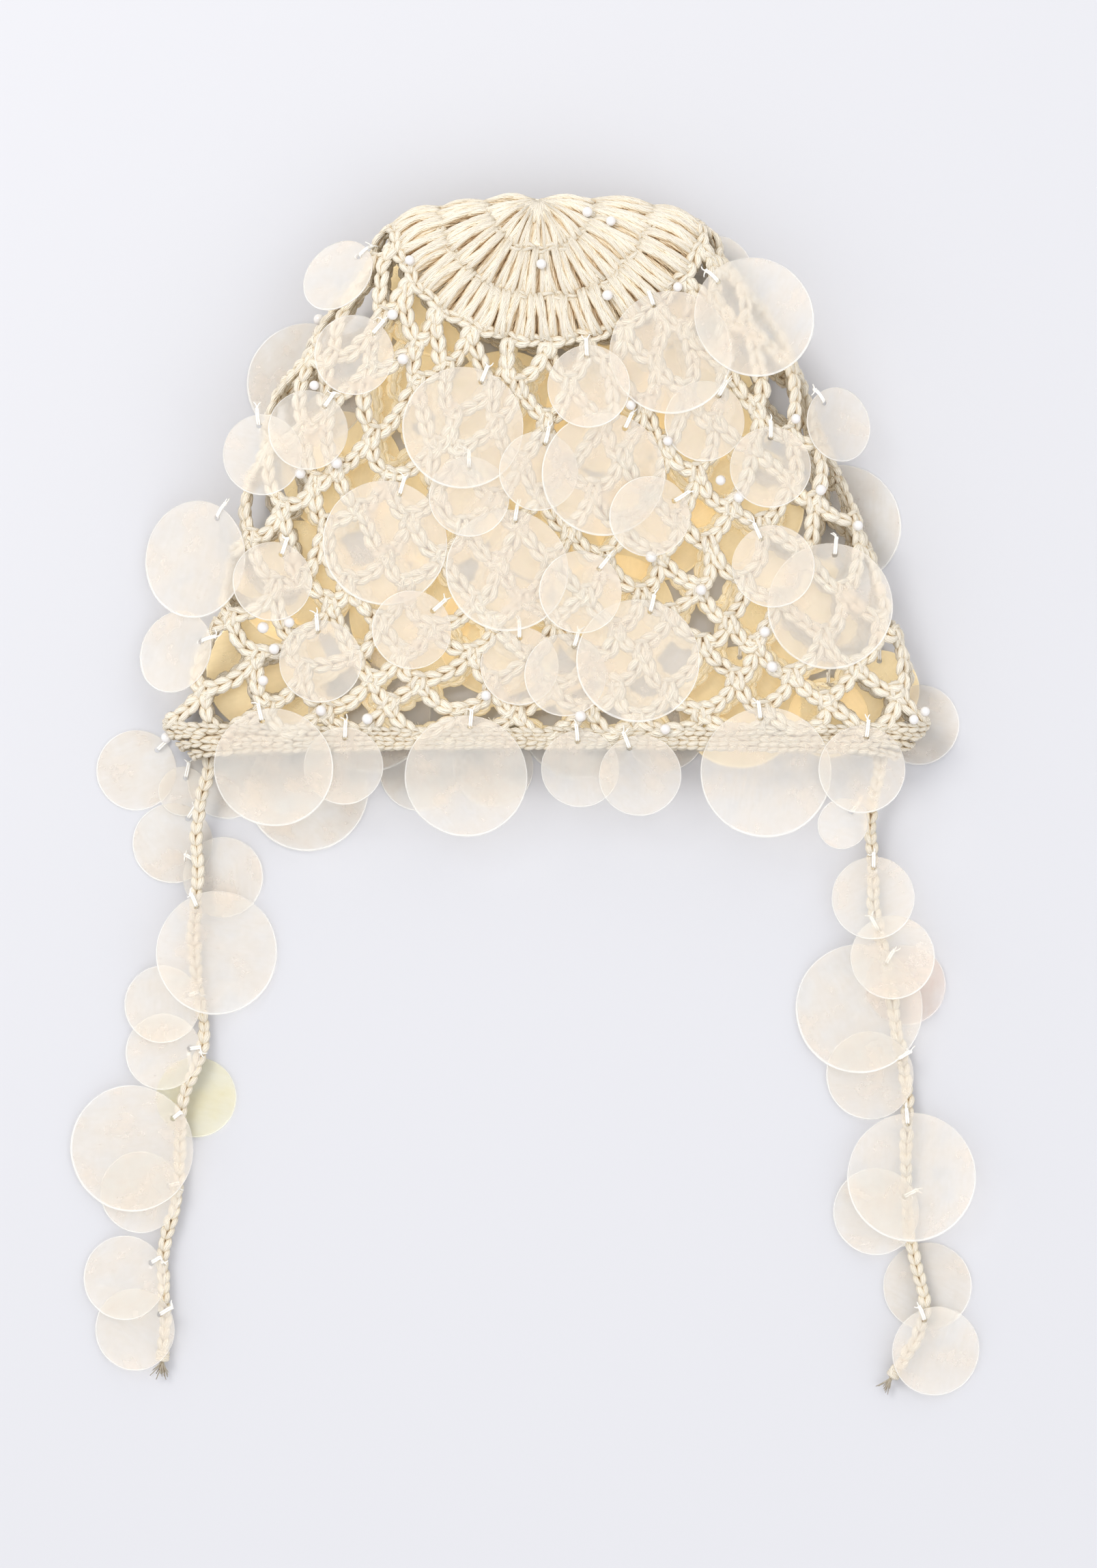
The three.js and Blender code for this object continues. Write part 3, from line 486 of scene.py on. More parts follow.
def chain(points, normals, width, thick, stitch, rings=6):
    """A chain of stitches along a line: two leaves a stitch in front and one bump behind. Returns the paths, wide,
    deep and up of the leaves and those of the bumps."""
    total = float(np.linalg.norm(np.diff(points, axis=0), axis=1).sum())
    count = max(int(round(total / stitch)), 1)
    pitch = total / count
    t = np.linspace(0, 1, rings)
    start = (np.arange(count) - 0.1) * pitch
    radius = width * 0.235
    out = []
    for sign in (-1, 1):
        s = start[:, None] + pitch * (1.5 * t)[None] - 0.1 * pitch
        spread = sign * (width / 2 - radius) * (0.06 + 1.0 * np.sin(math.pi * t**0.62))
        lift = (thick / 2 - radius * 0.85) * (-0.8 + 1.9 * np.sin(math.pi * (0.04 + 0.74 * t)))
        spread = spread[None] * rng.uniform(0.78, 1.15, (count, 1)) + rng.normal(0, 0.14, (count, 1))
        lift = lift[None] + rng.normal(0, 0.16, (count, 1))
        s = s + rng.normal(0, 0.2, (count, 1))
        place, side, up = along_line(points, normals, s)
        path = place + side * spread[..., None] + up * lift[..., None]
        fat = radius * (0.42 + 0.72 * np.sin(math.pi * np.clip(t * 0.94 + 0.03, 0, 1)) ** 0.8)
        fat = fat[None] * rng.uniform(0.88, 1.14, (count, 1))
        out.append((path, fat, fat * 0.85, up))
    leaves = [np.concatenate([one[k] for one in out]) for k in range(4)]
    t = np.linspace(0, 1, 4)
    s = start[:, None] + pitch * (1.35 * t)[None]
    place, side, up = along_line(points, normals, s)
    lift = -(thick / 2 - radius * 0.8) * (0.35 + 0.65 * np.sin(math.pi * t))
    sway = rng.normal(0, 0.15, (count, 1)) * np.ones(4)
    path = place + side * sway[..., None] + up * lift[None, :, None]
    fat = np.broadcast_to(radius * (0.6 + 0.4 * np.sin(math.pi * t)), (count, 4))
    return leaves, [path, fat, fat * 0.85, up]


class Yarns:
    """Gathers stitches of one kind before they are made into a mesh."""

    def __init__(self):
        self.groups = {}

    def add(self, group, sides):
        self.groups.setdefault((group[0].shape[1], sides), []).append(group)

    def strand(self, path, wide, deep, up, sides=6):
        """One tube along a path of (rings, 3)."""
        path = np.asarray(path, float)
        up = np.broadcast_to(np.asarray(up, float), path.shape)
        wide = np.broadcast_to(np.asarray(wide, float), len(path))
        deep = np.broadcast_to(np.asarray(deep, float), len(path))
        self.add([path[None], wide[None], deep[None], up[None]], sides)

    def piece(self, name, mat, slot="yarn"):
        parts = []
        for (_, sides), items in self.groups.items():
            stacked = [np.concatenate([item[k] for item in items]) for k in range(4)]
            parts.append(tubes(*stacked, sides=sides))
        verts, faces, uv = join(parts)
        return make(name, verts, faces, mat, uv)


# Cords

# The cords' middle lines from the brim's corners, as in part.mjs
LEFT_ROUTE = [
    (-124.3, 5.1, 10.4), (-124.9, -2, 9.6), (-127.8, -13, 7.6), (-129.4, -25, 6.8), (-128.6, -37, 6.4),
    (-129.4, -49.5, 5.6), (-130.3, -60, 3.6), (-129.9, -70, 2.9), (-128.4, -83.2, 2.8),
    (-126.4, -97, 3.2), (-129.2, -108.2, 4.2), (-133.4, -118.2, 4.2), (-134.9, -127, 4),
    (-135.3, -140.8, 2.9), (-136.4, -155.8, 2.8), (-138.8, -166.2, 2.8), (-141.6, -175.8, 2.8),
    (-141.6, -185.8, 2.8), (-140.9, -200.8, 2.8), (-141.9, -216.8, 2.8),
]
RIGHT_ROUTE = [
    (121.5, 5.1, 10.4), (120.9, -2, 9.4), (118.8, -12, 6.9), (118.1, -22, 4.6), (119.3, -35, 3.1),
    (119.2, -43.2, 2.8), (119.8, -51.8, 2.8), (121.9, -61.8, 3.3), (124.4, -73, 4.1),
    (125.8, -83.2, 4.1), (128.1, -97.5, 3.6), (131.4, -115, 2.8), (131.9, -124.5, 2.8),
    (131.4, -140.8, 2.8), (131.6, -158, 2.8), (132.9, -171.2, 3.6), (135.2, -183, 4.2),
    (138.2, -195.2, 4.1), (135.4, -208.2, 3.4), (126.4, -222.8, 2.8),
]


def smooth_line(points, count):
    """Even points on a smooth curve through the given ones, and its length."""
    p = np.asarray(points, float)
    p = np.concatenate([[2 * p[0] - p[1]], p, [2 * p[-1] - p[-2]]])
    fine = []
    for k in range(1, len(p) - 2):
        t = np.linspace(0, 1, 24, endpoint=False)[:, None]
        a, b, c, d = p[k - 1:k + 3]
        square = 2 * a - 5 * b + 4 * c - d
        cube = 3 * b - a - 3 * c + d
        fine.append(0.5 * (2 * b + (c - a) * t + square * t**2 + cube * t**3))
    fine = np.concatenate([*fine, p[-2:-1]])
    run = np.concatenate([[0], np.cumsum(np.linalg.norm(np.diff(fine, axis=0), axis=1))])
    at = np.linspace(0, run[-1], count)
    return np.stack([np.interp(at, run, fine[:, k]) for k in range(3)], -1), float(run[-1])


cords = {}
for label, route in (("left", LEFT_ROUTE), ("right", RIGHT_ROUTE)):
    line, length = smooth_line(route, 400)
    yarns = Yarns()
    leaves, bumps = chain(line, np.broadcast_to(UP, line.shape), width=4.6, thick=4.0, stitch=4.1, rings=8)
    yarns.add(leaves, 8)
    yarns.add(bumps, 6)
    piece = yarns.piece(f"cord_{label}", YARN)
    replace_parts(piece, f"tie_{label}")
    cords[label] = {"piece": piece, "line": line, "length": length}


# Net

COLUMNS = 24
ROWS = 12
NET_LOW = 0.062  # row at which the net begins over the brim
LEVELS = NET_LOW + (1 - NET_LOW) * (np.linspace(0, 1, ROWS + 1) ** 0.98)
KNOT_SHIFT = (0.012, 0.0045)  # usual shift of a knot, in row and share
FOLD_SHARE = 0.065  # how far the net's side pieces reach behind each fold
node_jitter = rng.normal(0, 1, (ROWS + 1, COLUMNS, 2))


def knot_place(level, column_):
    """Row and share round of a knot. Odd levels sit half a column over."""
    j = int(column_) % COLUMNS
    spread = 0 if level in (0, ROWS) else 1
    d_row, d_share = node_jitter[level, j] * spread * KNOT_SHIFT
    return LEVELS[level] + d_row, (column_ + 0.5 * (level % 2)) / COLUMNS + d_share


net = {"front": Yarns(), "sides": Yarns(), "back": Yarns()}


def half_of(share):
    """The net's piece that a share of the way round belongs to."""
    share = share % 1.0
    if share < 0.5:
        return "front"
    return "sides" if share < 0.5 + FOLD_SHARE or share > 1 - FOLD_SHARE else "back"


# Arches of chain that hang from one row's knots to the next one's
for level in range(ROWS, 0, -1):
    for j in range(COLUMNS):
        a = knot_place(level, j)
        b = knot_place(level, j + 1)
        below = knot_place(level - 1, j + (1 if level % 2 else 0))
        t = np.linspace(0, 1, 15)
        dip = (a[0] + b[0]) / 2 - below[0]
        hang = np.sin(math.pi * t) ** 0.75
        row = a[0] * (1 - t) + b[0] * t - dip * hang
        share = a[1] + (b[1] - a[1]) * t + (below[1] - (a[1] + b[1]) / 2) * hang
        points = woven(row, share)
        normals = woven_normal(row, share)
        phase = rng.uniform(0, 2 * math.pi, 2)
        across = unit(np.cross(np.gradient(points, axis=0), normals))
        calm = np.sin(math.pi * t)
        points = points + normals * (0.5 * calm * np.sin(5 * t + phase[0]))[:, None]
        points = points + across * (1.1 * calm * np.sin(8 * t + phase[1]))[:, None]
        yarns = net[half_of((a[1] + b[1]) / 2)]
        leaves, bumps = chain(points, normals, width=5.7, thick=4.0, stitch=5.15)
        yarns.add(leaves, 6)
        yarns.add(bumps, 4)

# Single crochets that tie each arch over the one above it
for level in range(1, ROWS):
    for j in range(COLUMNS):
        row, share = knot_place(level, j)
        here = woven(row, share)
        normal = woven_normal(row, share)
        above = woven(min(row + 0.03, 1), share)
        up_dir = unit(above - here)
        side_dir = np.cross(up_dir, normal)
        yarns = net[half_of(share)]
        t = np.linspace(0, 1, 6)
        arc = np.sin(math.pi * t)
        lean = rng.normal(0, 0.25)
        for sign in (-1, 1):
            apart = sign * (0.45 + 1.35 * np.sin(math.pi * t**0.7)) + lean * t
            lift = -0.2 + 1.9 * np.sin(math.pi * (0.1 + 0.8 * t))
            path = (
                here + up_dir * (-4.2 + 7.4 * t)[:, None]
                + side_dir * apart[:, None] + normal * lift[:, None]
            )
            yarns.strand(path, 1.15 * (0.55 + 0.5 * arc), 0.95 * (0.55 + 0.5 * arc), normal)
        path = (
            here + side_dir * (-3.1 + 6.2 * t)[:, None] + up_dir * (1.9 + 0.6 * arc + lean * t)[:, None]
            + normal * (-1.0 + 2.7 * arc)[:, None]
        )
        yarns.strand(path, 1.0, 0.9, up_dir)

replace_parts(net["front"].piece("net_front", YARN), "net")
net["sides"].piece("net_sides", YARN)
# the back layer takes the golden yarn copy with its painted glow
net["back"].piece("net_back", YARN_BEHIND_PAINTED_GLOW)


# Brim edging

# row, height over the wall's middle, width
BRIM_CHAINS = ((0.006, 0.0, 3.6), (0.026, 0.3, 3.9), (0.047, 0.0, 3.9), (0.064, 0.6, 3.6))
brim = Yarns()
for row, offset, width in BRIM_CHAINS:
    share = np.linspace(0, 1, 400)
    wave = 0.002 * np.sin(share * 2 * math.pi * COLUMNS)
    points = woven(row + wave, share)
    normals = woven_normal(np.full(400, row + 0.004), share)
    points = points + normals * offset
    leaves, bumps = chain(points, normals, width=width, thick=3.2, stitch=3.7)
    brim.add(leaves, 6)
    brim.add(bumps, 4)
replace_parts(brim.piece("brim_edging", YARN), "brim")


# Crown

CROWN_X = -4.0  # middle of the crown along the fold
POST_RINGS = 9
# inner ratio, outer ratio, posts round, posts in a cluster, sideways lean of a post's head as a share of its width
CROWN_ROUNDS = (
    (0.03, 0.372, 28, 2, 0.2),
    (0.338, 0.706, 54, 3, 0.35),
    (0.672, 1.0, 80, 4, 0.45),
)
# one treble's plies, each across the others: start and end offset, half-width, height over the wall
PLIES = ((-0.34, 0.30, 0.45, 0.0), (0.36, -0.30, 0.42, 0.3), (-0.1, 0.34, 0.3, 0.8))
POST_ROOM = (1.7, 6.4)  # least and most width of a post
CLUSTER_PULL = 0.84  # how close the feet of a cluster stand, as a share of even steps
# the chains over the heads of the rounds: ratio, waves round, width
HEAD_CHAINS = ((0.352, 26, 3.4), (0.688, 36, 3.6))
FAN_STRANDS = 30  # strands that fan out from the middle
CLOSING_STRANDS = 9  # strands that close the middle over the fold
BORDER_RATIO = 0.985


def crown_point(ratio, share):
    """Point of the crown's wall: ratio 0 at the middle of the fold to 1 at its border."""
    ratio, share = np.broadcast_arrays(np.asarray(ratio, float), np.asarray(share, float))
    turn = np.interp(share - np.floor(share), _even, TURN_AT[-1])
    border = round_point(1.0, turn)
    x = CROWN_X + ratio * (border[..., 0] - CROWN_X)
    drop = top_line(border[..., 0], MID_WALL) - border[..., 1]
    y = top_line(x, MID_WALL) - ratio * drop
    return surface(x, y, np.where(np.sin(turn) >= 0, 1.0, -1.0))


def crown_normal(ratio, share):
    e = 0.01
    out = crown_point(np.maximum(ratio - e, 0.001), share) - crown_point(np.minimum(ratio + e, 1), share)
    round_ = crown_point(ratio, share + e) - crown_point(ratio, share - e)
    return unit(np.cross(round_, out))


def crown_post(yarns, p, inner, outer, posts, cluster, lean):
    """Post p of a round: its plies and the strand that fills the wall under them."""
    t = np.linspace(0, 1, POST_RINGS)
    sign = 1 if p % 2 else -1
    in_cluster = p % cluster + 0.5 - cluster / 2
    foot = (p - p % cluster + cluster / 2 + in_cluster * CLUSTER_PULL + rng.normal(0, 0.08)) / posts
    head = (p + 0.5 + sign * lean * 0.5 + rng.normal(0, 0.12)) / posts
    ratio = inner + (outer - inner) * t + rng.normal(0, 0.01) - 0.012 * abs(in_cluster)
    share = foot + (head - foot) * t**0.7
    low = np.clip(ratio, 0.01, 1)
    centre = crown_point(low, share)
    normal = crown_normal(np.clip(ratio, 0.02, 1), share)
    side = unit(np.cross(unit(np.gradient(centre, axis=0)), normal))
    half = 0.5 / posts
    room = np.linalg.norm(crown_point(low, share + half) - crown_point(low, share - half), axis=1)
    room = np.clip(room, *POST_ROOM)
    shape = 0.40 + 0.66 * np.sin(math.pi * np.clip(t, 0.03, 0.97) ** 0.9) ** 0.8
    rise = 0.55 + 0.3 * np.sin(math.pi * np.clip(t, 0.05, 0.95)) + 0.3 * rng.normal(0, 1)
    bow = 0.16 * room * np.sin(math.pi * t) * rng.normal(0, 1)
    for start, end, fat, over in PLIES:
        swing = sign * np.linspace(start, end, POST_RINGS) * room + bow
        lift = rise + over * 1.3 * np.sin(math.pi * t)
        path = centre + side * swing[:, None] + normal * lift[:, None]
        thick = np.minimum(room * fat, 1.5) * shape
        yarns.strand(path, room * fat * shape * rng.uniform(0.9, 1.1), thick, normal, 8)
    width = room * 0.72 * np.clip(5.0 * (t - 0.06), 0.04, 1)
    yarns.strand(centre + normal * 0.15, width, 0.9 * np.clip(4 * t, 0.1, 1), normal, 6)


crown = Yarns()
for inner, outer, posts, cluster, lean in CROWN_ROUNDS:
    for p in range(posts):
        crown_post(crown, p, inner, outer, posts, cluster, lean)

for ratio, waves, width in HEAD_CHAINS:
    share = np.linspace(0, 1, 360)
    wave = 0.016 * np.sin(share * math.pi * waves) + 0.010 * np.sin(share * 2 * math.pi * 7)
    points = crown_point(ratio + wave, share)
    normals = crown_normal(ratio + wave, share)
    leaves, _ = chain(points + normals * 0.1, normals, width=width, thick=2.8, stitch=4.6)
    crown.add(leaves, 6)

for k in range(FAN_STRANDS):
    t = np.linspace(0, 1, 7)
    share = (k + 0.5 + rng.normal(0, 0.15)) / FAN_STRANDS + 0.01 * t * rng.normal(0, 1)
    ratio = 0.02 + (0.17 + rng.uniform(-0.04, 0.04)) * t
    belly = np.sin(math.pi * t)
    normal = crown_normal(ratio, share)
    path = crown_point(ratio, share) + normal * (0.5 + 0.5 * belly)[:, None]
    crown.strand(path, 1.15 * (0.7 + 0.4 * belly), 0.95, normal, 8)

for k in range(CLOSING_STRANDS):
    t = np.linspace(-1, 1, 6)
    turn = rng.uniform(-0.5, 0.5)
    x = CROWN_X + rng.normal(0, 1.6) + 5.2 * t * math.cos(turn)
    y = top_line(x, MID_WALL) - 0.4 - rng.uniform(0, 1.2) * np.ones(6)
    z = HAT_FLOOR + section(y)[2] + (k - CLOSING_STRANDS // 2) * 1.1 + 3.0 * t * math.sin(turn)
    path = np.stack([x, y, z], -1)
    crown.strand(path, 1.9 * (1.2 - t**2), 1.5 * (1.15 - t**2), [0.0, 1.0, 0.2], 8)

share = np.linspace(0, 1, 400)
wander = 0.012 * np.sin(share * 2 * math.pi * COLUMNS) + 0.006 * np.sin(share * 2 * math.pi * 9 + 1)
points = crown_point(np.clip(BORDER_RATIO + wander, 0, 1), share)
normals = crown_normal(np.full(400, BORDER_RATIO), share)
leaves, bumps = chain(points + normals * 0.3, normals, width=5.0, thick=3.2, stitch=4.4)
crown.add(leaves, 6)
crown.add(bumps, 4)
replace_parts(crown.piece("crown_stitches", YARN), "crown")


# Shell discs


def disc_facts(node):
    """Middle, outward normal, radius and hole of a disc, read from its CAD node, in hat coordinates."""
    co = np.array([v.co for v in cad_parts[node].data.vertices], float) / MM - SHIFT
    co = np.unique(np.round(co, 4), axis=0)
    middle = (co.min(0) + co.max(0)) / 2
    away = np.linalg.norm(co - middle, axis=1)
    radius = float(away.max())
    normal = np.linalg.svd(co[away > 0.97 * radius] - middle)[2][2]
    normal = normal if normal[2] > 0 else -normal
    hole = co[away < 0.94 * radius].mean(0)
    return middle, normal, radius, hole


HOLE = 1.05  # radius of a disc's hole
# Half of a disc's cut: share of the way from the hole to the rim, height as a share of half the thickness
DISC_PROFILE = [
    (0.0, 0.55), (0.012, 1.0), (0.12, 1.0), (0.4, 1.0), (0.7, 1.0), (0.9, 1.0), (0.975, 0.98), (0.99, 0.85),
    (1.0, 0.4),
]


def disc_mesh(middle, normal, radius, hole, thick=0.84, sides=72, warp=0.1):
    """A cut shell: a thin plate with a softened, slightly uneven rim and a drilled hole."""
    to_hole = (hole - middle) - normal * np.dot(hole - middle, normal)
    offset = float(np.linalg.norm(to_hole))
    x_axis = to_hole / offset
    y_axis = np.cross(normal, x_axis)
    angle = np.arange(sides) / sides * 2 * math.pi
    phase = rng.uniform(0, 2 * math.pi, 4)
    uneven = (
        1 + 0.0035 * np.sin(2 * angle + phase[0]) + 0.002 * np.sin(5 * angle + phase[1])
        + 0.0012 * np.sin(11 * angle + phase[2])
    )
    profile = DISC_PROFILE + [(out, -height) for out, height in DISC_PROFILE[::-1]]
    tilt = rng.uniform(0, 2 * math.pi)
    verts, tags = [], []
    for out, height in profile:
        r = HOLE + out * (radius - HOLE)
        r = r * (1 + (uneven - 1) * out)
        x = offset * (1 - out) + r * np.cos(angle)
        y = r * np.sin(angle)
        bend = warp * ((x * math.cos(tilt) + y * math.sin(tilt)) ** 2 / radius**2 - 0.35)
        z = thick / 2 * height + bend
        verts.append(middle + x[:, None] * x_axis + y[:, None] * y_axis + z[:, None] * normal)
        tags.append(np.full(sides, 1.0 if out > 0.98 else 0.0))
    count = len(profile)
    i, j = np.meshgrid(np.arange(count), np.arange(sides), indexing="ij")
    a = (i + 1) % count
    b = (j + 1) % sides
    faces = np.stack([i * sides + j, a * sides + j, a * sides + b, i * sides + b], -1).reshape(-1, 4)
    verts = np.concatenate(verts)
    local = np.stack([(verts - middle) @ x_axis, (verts - middle) @ y_axis], -1)
    turn = rng.uniform(0, 2 * math.pi)
    spin = np.array([[math.cos(turn), -math.sin(turn)], [math.sin(turn), math.cos(turn)]])
    flat = local @ spin + rng.uniform(-400, 400, 2)
    return verts, faces, flat[faces].reshape(-1, 2), np.concatenate(tags)


FRONT_NODES = [f"front_disc_{i:02d}" for i in range(1, 37)]
CORD_NODES = [f"tie_{side}_disc_{i}" for side in ("left", "right") for i in range(1, 10)]
TINTED = {"tie_left_disc_2": SHELL_WARM, "tie_right_disc_1": SHELL_ROSE}
discs = {}
for node in FRONT_NODES + CORD_NODES:
    discs[node] = disc_facts(node)
    verts, faces, uv, tag = disc_mesh(*discs[node])
    piece = make("shell_" + node, verts, faces, TINTED.get(node, SHELL), uv, tag)
    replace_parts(piece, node)
    if node.startswith("tie_"):
        cords[node.split("_")[1]].setdefault("discs", []).append(piece)

LARGE = 22.5  # radii of the shells at the back
MEDIUM = 14.75
SMALL = 9.1
# Shells under the hat's back and at its left corner: x, y, radius, direction of the hole in degrees
BACK = [
    (-151.6, -0.2, MEDIUM, 44), (-134.4, -7.9, SMALL, 78), (-138.3, -27.0, MEDIUM, 58),
    (-118.4, -3.3, MEDIUM, 80), (-88.7, -7.5, LARGE, 90), (-47.4, -0.4, MEDIUM, 90),
    (-20.3, 1.0, MEDIUM, 90), (-65.8, 21.7, LARGE, 90), (11.6, 19.2, LARGE, 90),
    (42.9, 14.2, MEDIUM, 90), (70.4, 23.0, LARGE, 90), (102.9, 19.2, MEDIUM, 90),
    (121.7, 29.3, MEDIUM, 90), (136.3, 16.5, MEDIUM, 118), (-103.4, 35.5, LARGE, 90),
    (-93.3, 69.2, LARGE, 90), (-50.9, 56.8, LARGE, 90), (-18.3, 49.3, LARGE, 90),
    (24.1, 56.8, LARGE, 90), (91.7, 56.8, LARGE, 90), (107.2, 89.7, LARGE, 120),
    (71.6, 96.8, LARGE, 90), (39.1, 91.8, LARGE, 90), (-0.8, 91.8, LARGE, 90),
    (-40.9, 96.8, LARGE, 90), (-75.9, 109.3, LARGE, 90), (-88.4, 141.7, LARGE, 60),
    (-53.4, 141.7, MEDIUM, 90), (-15.9, 131.7, LARGE, 90), (21.6, 131.7, LARGE, 90),
    (54.1, 134.2, LARGE, 90), (-40.9, 174.3, LARGE, 90), (28.9, 171.8, LARGE, 90),
    (60.6, 181.8, MEDIUM, 120),
]
LAYERS = (0.28, 0.82, 1.34)  # heights of their middles
HOLE_INSET = 4  # from the rim to the middle of the hole
TIED_BEHIND = 14  # shells at the head of BACK whose threads show
back_layers = []
back_parts = []
for x, y, radius, hole_at in BACK:
    near = [
        layer for (u, v, r, _), layer in zip(BACK, back_layers) if math.hypot(x - u, y - v) < r + radius
    ]
    free = [k for k in range(len(LAYERS)) if k not in near] or [min(range(len(LAYERS)), key=near.count)]
    back_layers.append(free[0])
    middle = np.array([x, y, LAYERS[free[0]]])
    a = math.radians(hole_at)
    hole = middle + (radius - HOLE_INSET) * np.array([math.cos(a), math.sin(a), 0])
    back_parts.append((disc_mesh(middle, UP, radius, hole, thick=0.46, sides=56, warp=0.0), middle, radius, hole))


def covered(x, y, radius):
    """Whether the hat hides a shell at its back altogether."""
    left, right = outline_at(np.array(float(y)), 0.0)
    return y - radius > 0 and left < x - 0.8 * radius and x + 0.8 * radius < right


# the shells the hat covers take the golden copy with its painted glow, those at its edge the plain shell
for name, mat, wanted in (("shells_behind", SHELL_BEHIND_PAINTED_GLOW, True), ("shells_at_edge", SHELL, False)):
    group = [mesh for mesh, middle, radius, _ in back_parts if covered(middle[0], middle[1], radius) == wanted]
    starts = np.cumsum([0] + [len(mesh[0]) for mesh in group[:-1]])
    verts = np.concatenate([mesh[0] for mesh in group])
    faces = np.concatenate([mesh[1] + start for mesh, start in zip(group, starts)])
    uv = np.concatenate([mesh[2] for mesh in group])
    tag = np.concatenate([mesh[3] for mesh in group])
    piece = make(name, verts, faces, mat, uv, tag)
    if wanted:
        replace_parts(piece, "back_discs")


# Threads, pearls and cord ends

threads = {"hat": Yarns(), "left": Yarns(), "right": Yarns()}


def outer_height(x, y):
    """Top of the yarn over (x, y)."""
    return float(HAT_FLOOR + section(y)[2] + half_height(x, y, 0.0))


def inside_hat(x, y):
    left, right = outline_at(np.array(float(y)), 0.0)
    return 6 < y < top_line(x, 0.0) and left < x < right


def tie(yarns, middle, normal, radius, hole, knot):
    """Double thread from the hole over the rim to its knot on the yarn, with two cut tails."""
    out = unit(hole - middle)
    side = np.cross(normal, out)
    rim = middle + out * radius
    knot = np.asarray(knot, float)
    points = np.array([
        hole - normal * 0.9 + out * 0.3, hole + normal * 0.55 + out * 0.55, (hole + rim) / 2 + normal * 0.85,
        rim + normal * 0.75 + out * 0.1, (rim + knot) / 2 + normal * 0.45, knot,
    ])
    for sign in (-1, 1):
        line, _ = smooth_line(points + side * (sign * 0.34), 14)
        yarns.strand(line, 0.36, 0.34, normal, 6)
    a = rng.uniform(0, math.pi)
    for k in range(3):
        t = np.linspace(0, 2 * math.pi, 9)
        axis = unit(np.array([math.cos(a + k * 1.1), math.sin(a + k * 1.1), 0.25]))
        u = unit(np.cross(axis, UP))
        v = np.cross(axis, u)
        ring = knot + 0.52 * (np.cos(t)[:, None] * u + np.sin(t)[:, None] * v) + axis * (0.28 * (k - 1))
        yarns.strand(ring, 0.33, 0.33, axis, 6)
    for k in range(2):
        heading = math.atan2(out[1], out[0]) + rng.uniform(-1.3, 1.3) + k * 0.9
        reach = rng.uniform(1.8, 3.0)
        t = np.linspace(0, 1, 5)[:, None]
        tip = np.array([math.cos(heading), math.sin(heading), 0.0]) * reach
        bow = np.array([-math.sin(heading), math.cos(heading), 0.0]) * rng.uniform(-0.5, 0.5)
        line = knot + tip * t + bow * np.sin(math.pi * t) + UP * (0.9 * t * (1.4 - t))
        fat = np.linspace(0.3, 0.2, 5)
        yarns.strand(line, fat, fat, UP, 4)


for node, (middle, normal, radius, hole) in discs.items():
    out = unit(hole - middle)
    if node.startswith("front"):
        knot = middle + out * (radius + 2.0)
        if inside_hat(knot[0], knot[1]):
            knot[2] = min(knot[2] + 0.6, max(outer_height(knot[0], knot[1]) + 0.3, knot[2] - 2.5))
        tie(threads["hat"], middle, normal, radius, hole, knot)
    else:
        side = node.split("_")[1]
        line = cords[side]["line"]
        wanted = middle + out * (radius + 1.2)
        nearest = line[np.argmin(np.linalg.norm(line[:, :2] - hole[:2], axis=1))]
        reach = np.linalg.norm(nearest[:2] - hole[:2])
        knot = nearest + UP * 2.3 if reach > 2.5 else wanted
        knot = knot if np.linalg.norm(knot[:2] - hole[:2]) < 9 else wanted
        tie(threads[side], middle, normal, radius, hole, knot)
for _, middle, radius, hole in back_parts[:TIED_BEHIND]:
    knot = middle + unit(hole - middle) * (radius + 1.4) + UP * 0.8
    tie(threads["hat"], middle, UP, radius, hole, knot)

threads["hat"].piece("disc_threads", THREAD)
for label in ("left", "right"):
    cords[label]["discs"].append(threads[label].piece(f"cord_threads_{label}", THREAD))
    line = cords[label]["line"]
    tip = line[-1]
    heading = unit(line[-1] - line[-12])
    side = np.cross(heading, UP)
    ends = Yarns()
    for k in range(3):  # the knot
        t = np.linspace(0, 2 * math.pi, 12)
        u = unit(side + UP * rng.uniform(-0.5, 0.5))
        v = unit(np.cross(heading, u))
        ring = tip - heading * (2.6 - 1.1 * k) + 1.7 * (np.cos(t)[:, None] * u + np.sin(t)[:, None] * v * 0.95)
        ends.strand(ring, 0.95, 0.95, heading, 8)
    for k in range(16):  # the frayed end
        t = np.linspace(0, 1, 6)[:, None]
        spread = rng.normal(0, 2.0)
        reach = rng.uniform(4, 7.5)
        fray = tip + heading * reach * t + side * spread * t**1.4 + UP * rng.uniform(-1.2, 0.8) * t
        fray[:, 2] = np.maximum(fray[:, 2], 0.35)
        ends.strand(fray, np.linspace(0.34, 0.14, 6), np.linspace(0.3, 0.12, 6), UP, 4)
    cords[label]["discs"].append(ends.piece(f"cord_end_{label}", YARN))

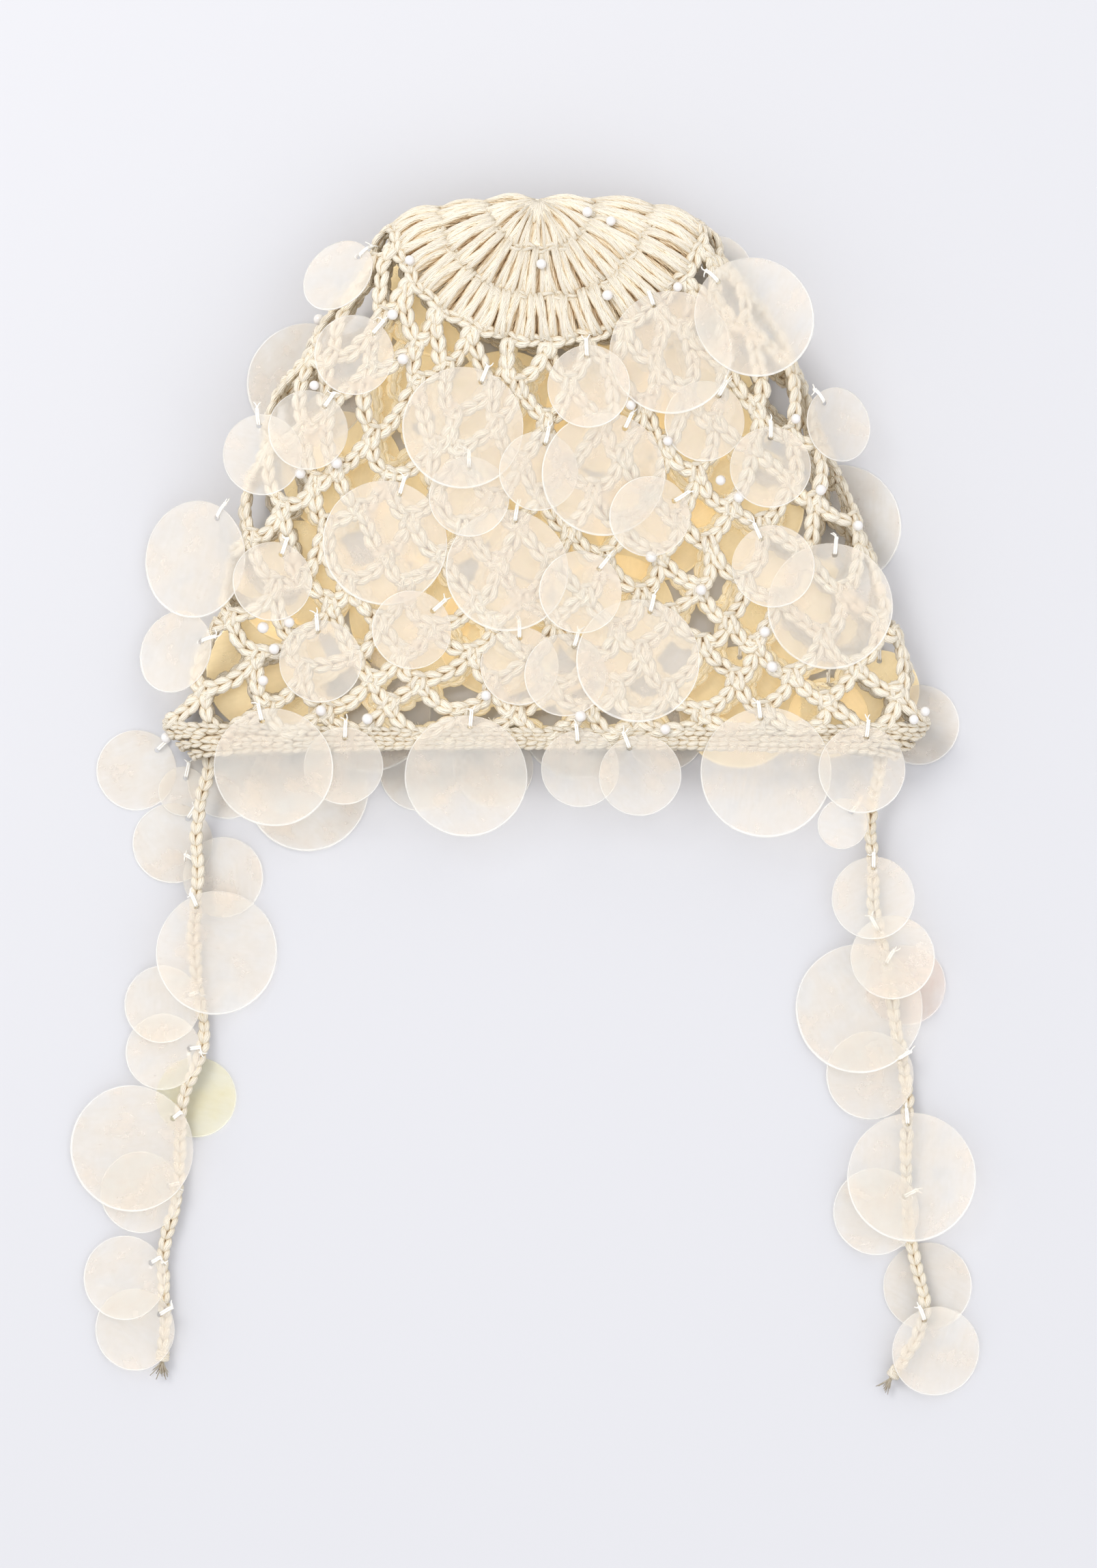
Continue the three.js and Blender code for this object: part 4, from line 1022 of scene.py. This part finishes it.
# Small pearls between the stitches, in pixels of the photograph
PEARLS = [
    (602, 388), (793, 394), (894, 331), (860, 317), (889, 439), (991, 427), (577, 467), (592, 531), (467, 467),
    (463, 569), (923, 597), (442, 696), (495, 681), (1163, 617), (977, 649), (425, 912), (403, 951), (387, 920),
    (387, 997), (539, 1053), (471, 1041), (712, 1019), (953, 817), (1026, 865), (1054, 706), (1081, 730),
    (1200, 720), (1130, 977), (1119, 926), (850, 1049), (974, 1068), (1255, 771), (243, 1080), (1354, 1042),
    (1337, 1054),
]
beads = Yarns()
for px, py in PEARLS:
    x, y = photo(px, py)
    size = rng.uniform(1.75, 2.15)
    z = outer_height(x, y) + size * 0.35 if inside_hat(x, y) else 9.0
    t = np.linspace(0.04, math.pi - 0.04, 13)
    path = np.array([x, y, z]) - UP * (size * np.cos(t))[:, None]
    beads.strand(path, size * np.sin(t), size * np.sin(t), [1.0, 0.0, 0.0], 18)
beads.piece("small_pearls", PEARL, "shell")


# Floor and light

FLOOR_HALF = 6.0
FLOOR_Z = -0.0004
floor_mat, _, floor_shader = material("paper")
floor_shader.inputs["Base Color"].default_value = (0.595, 0.595, 0.613, 1)
floor_shader.inputs["Roughness"].default_value = 0.9
floor_shader.inputs["Specular IOR Level"].default_value = 0.1
floor_mesh = bpy.data.meshes.new("floor")
corners = [(-1, -1), (1, -1), (1, 1), (-1, 1)]
floor_mesh.from_pydata([(x * FLOOR_HALF, y * FLOOR_HALF, FLOOR_Z) for x, y in corners], [], [(0, 1, 2, 3)])
floor_mesh.materials.append(floor_mat)
floor = bpy.data.objects.new("floor", floor_mesh)
bpy.context.scene.collection.objects.link(floor)


def area_light(name, place, aim, size, power, colour):
    light = bpy.data.lights.new(name, "AREA")
    light.shape = "DISK"
    light.size = size
    light.energy = power
    light.color = colour
    lamp = bpy.data.objects.new(name, light)
    lamp.location = place
    lamp.rotation_mode = "QUATERNION"
    lamp.rotation_quaternion = (Vector(aim) - Vector(place)).to_track_quat("-Z", "Y")
    bpy.context.scene.collection.objects.link(lamp)


AIM = (0, -0.06, 0)
area_light("key", (-1.0, 1.1, 1.6), AIM, 0.9, 21.9, (1.0, 0.99, 0.97))
area_light("fill", (1.3, -0.9, 1.5), AIM, 1.6, 7.3, (0.97, 0.98, 1.0))
world = bpy.data.worlds.new("studio")
world.use_nodes = True
background = world.node_tree.nodes["Background"]
background.inputs["Color"].default_value = (0.96, 0.965, 1.0, 1)
background.inputs["Strength"].default_value = 1.09
bpy.context.scene.world = world
bpy.context.scene.cycles.transparent_max_bounces = 16  # for shells that overlap
bpy.context.scene.view_settings.view_transform = "Standard"
bpy.context.scene.view_settings.look = "None"
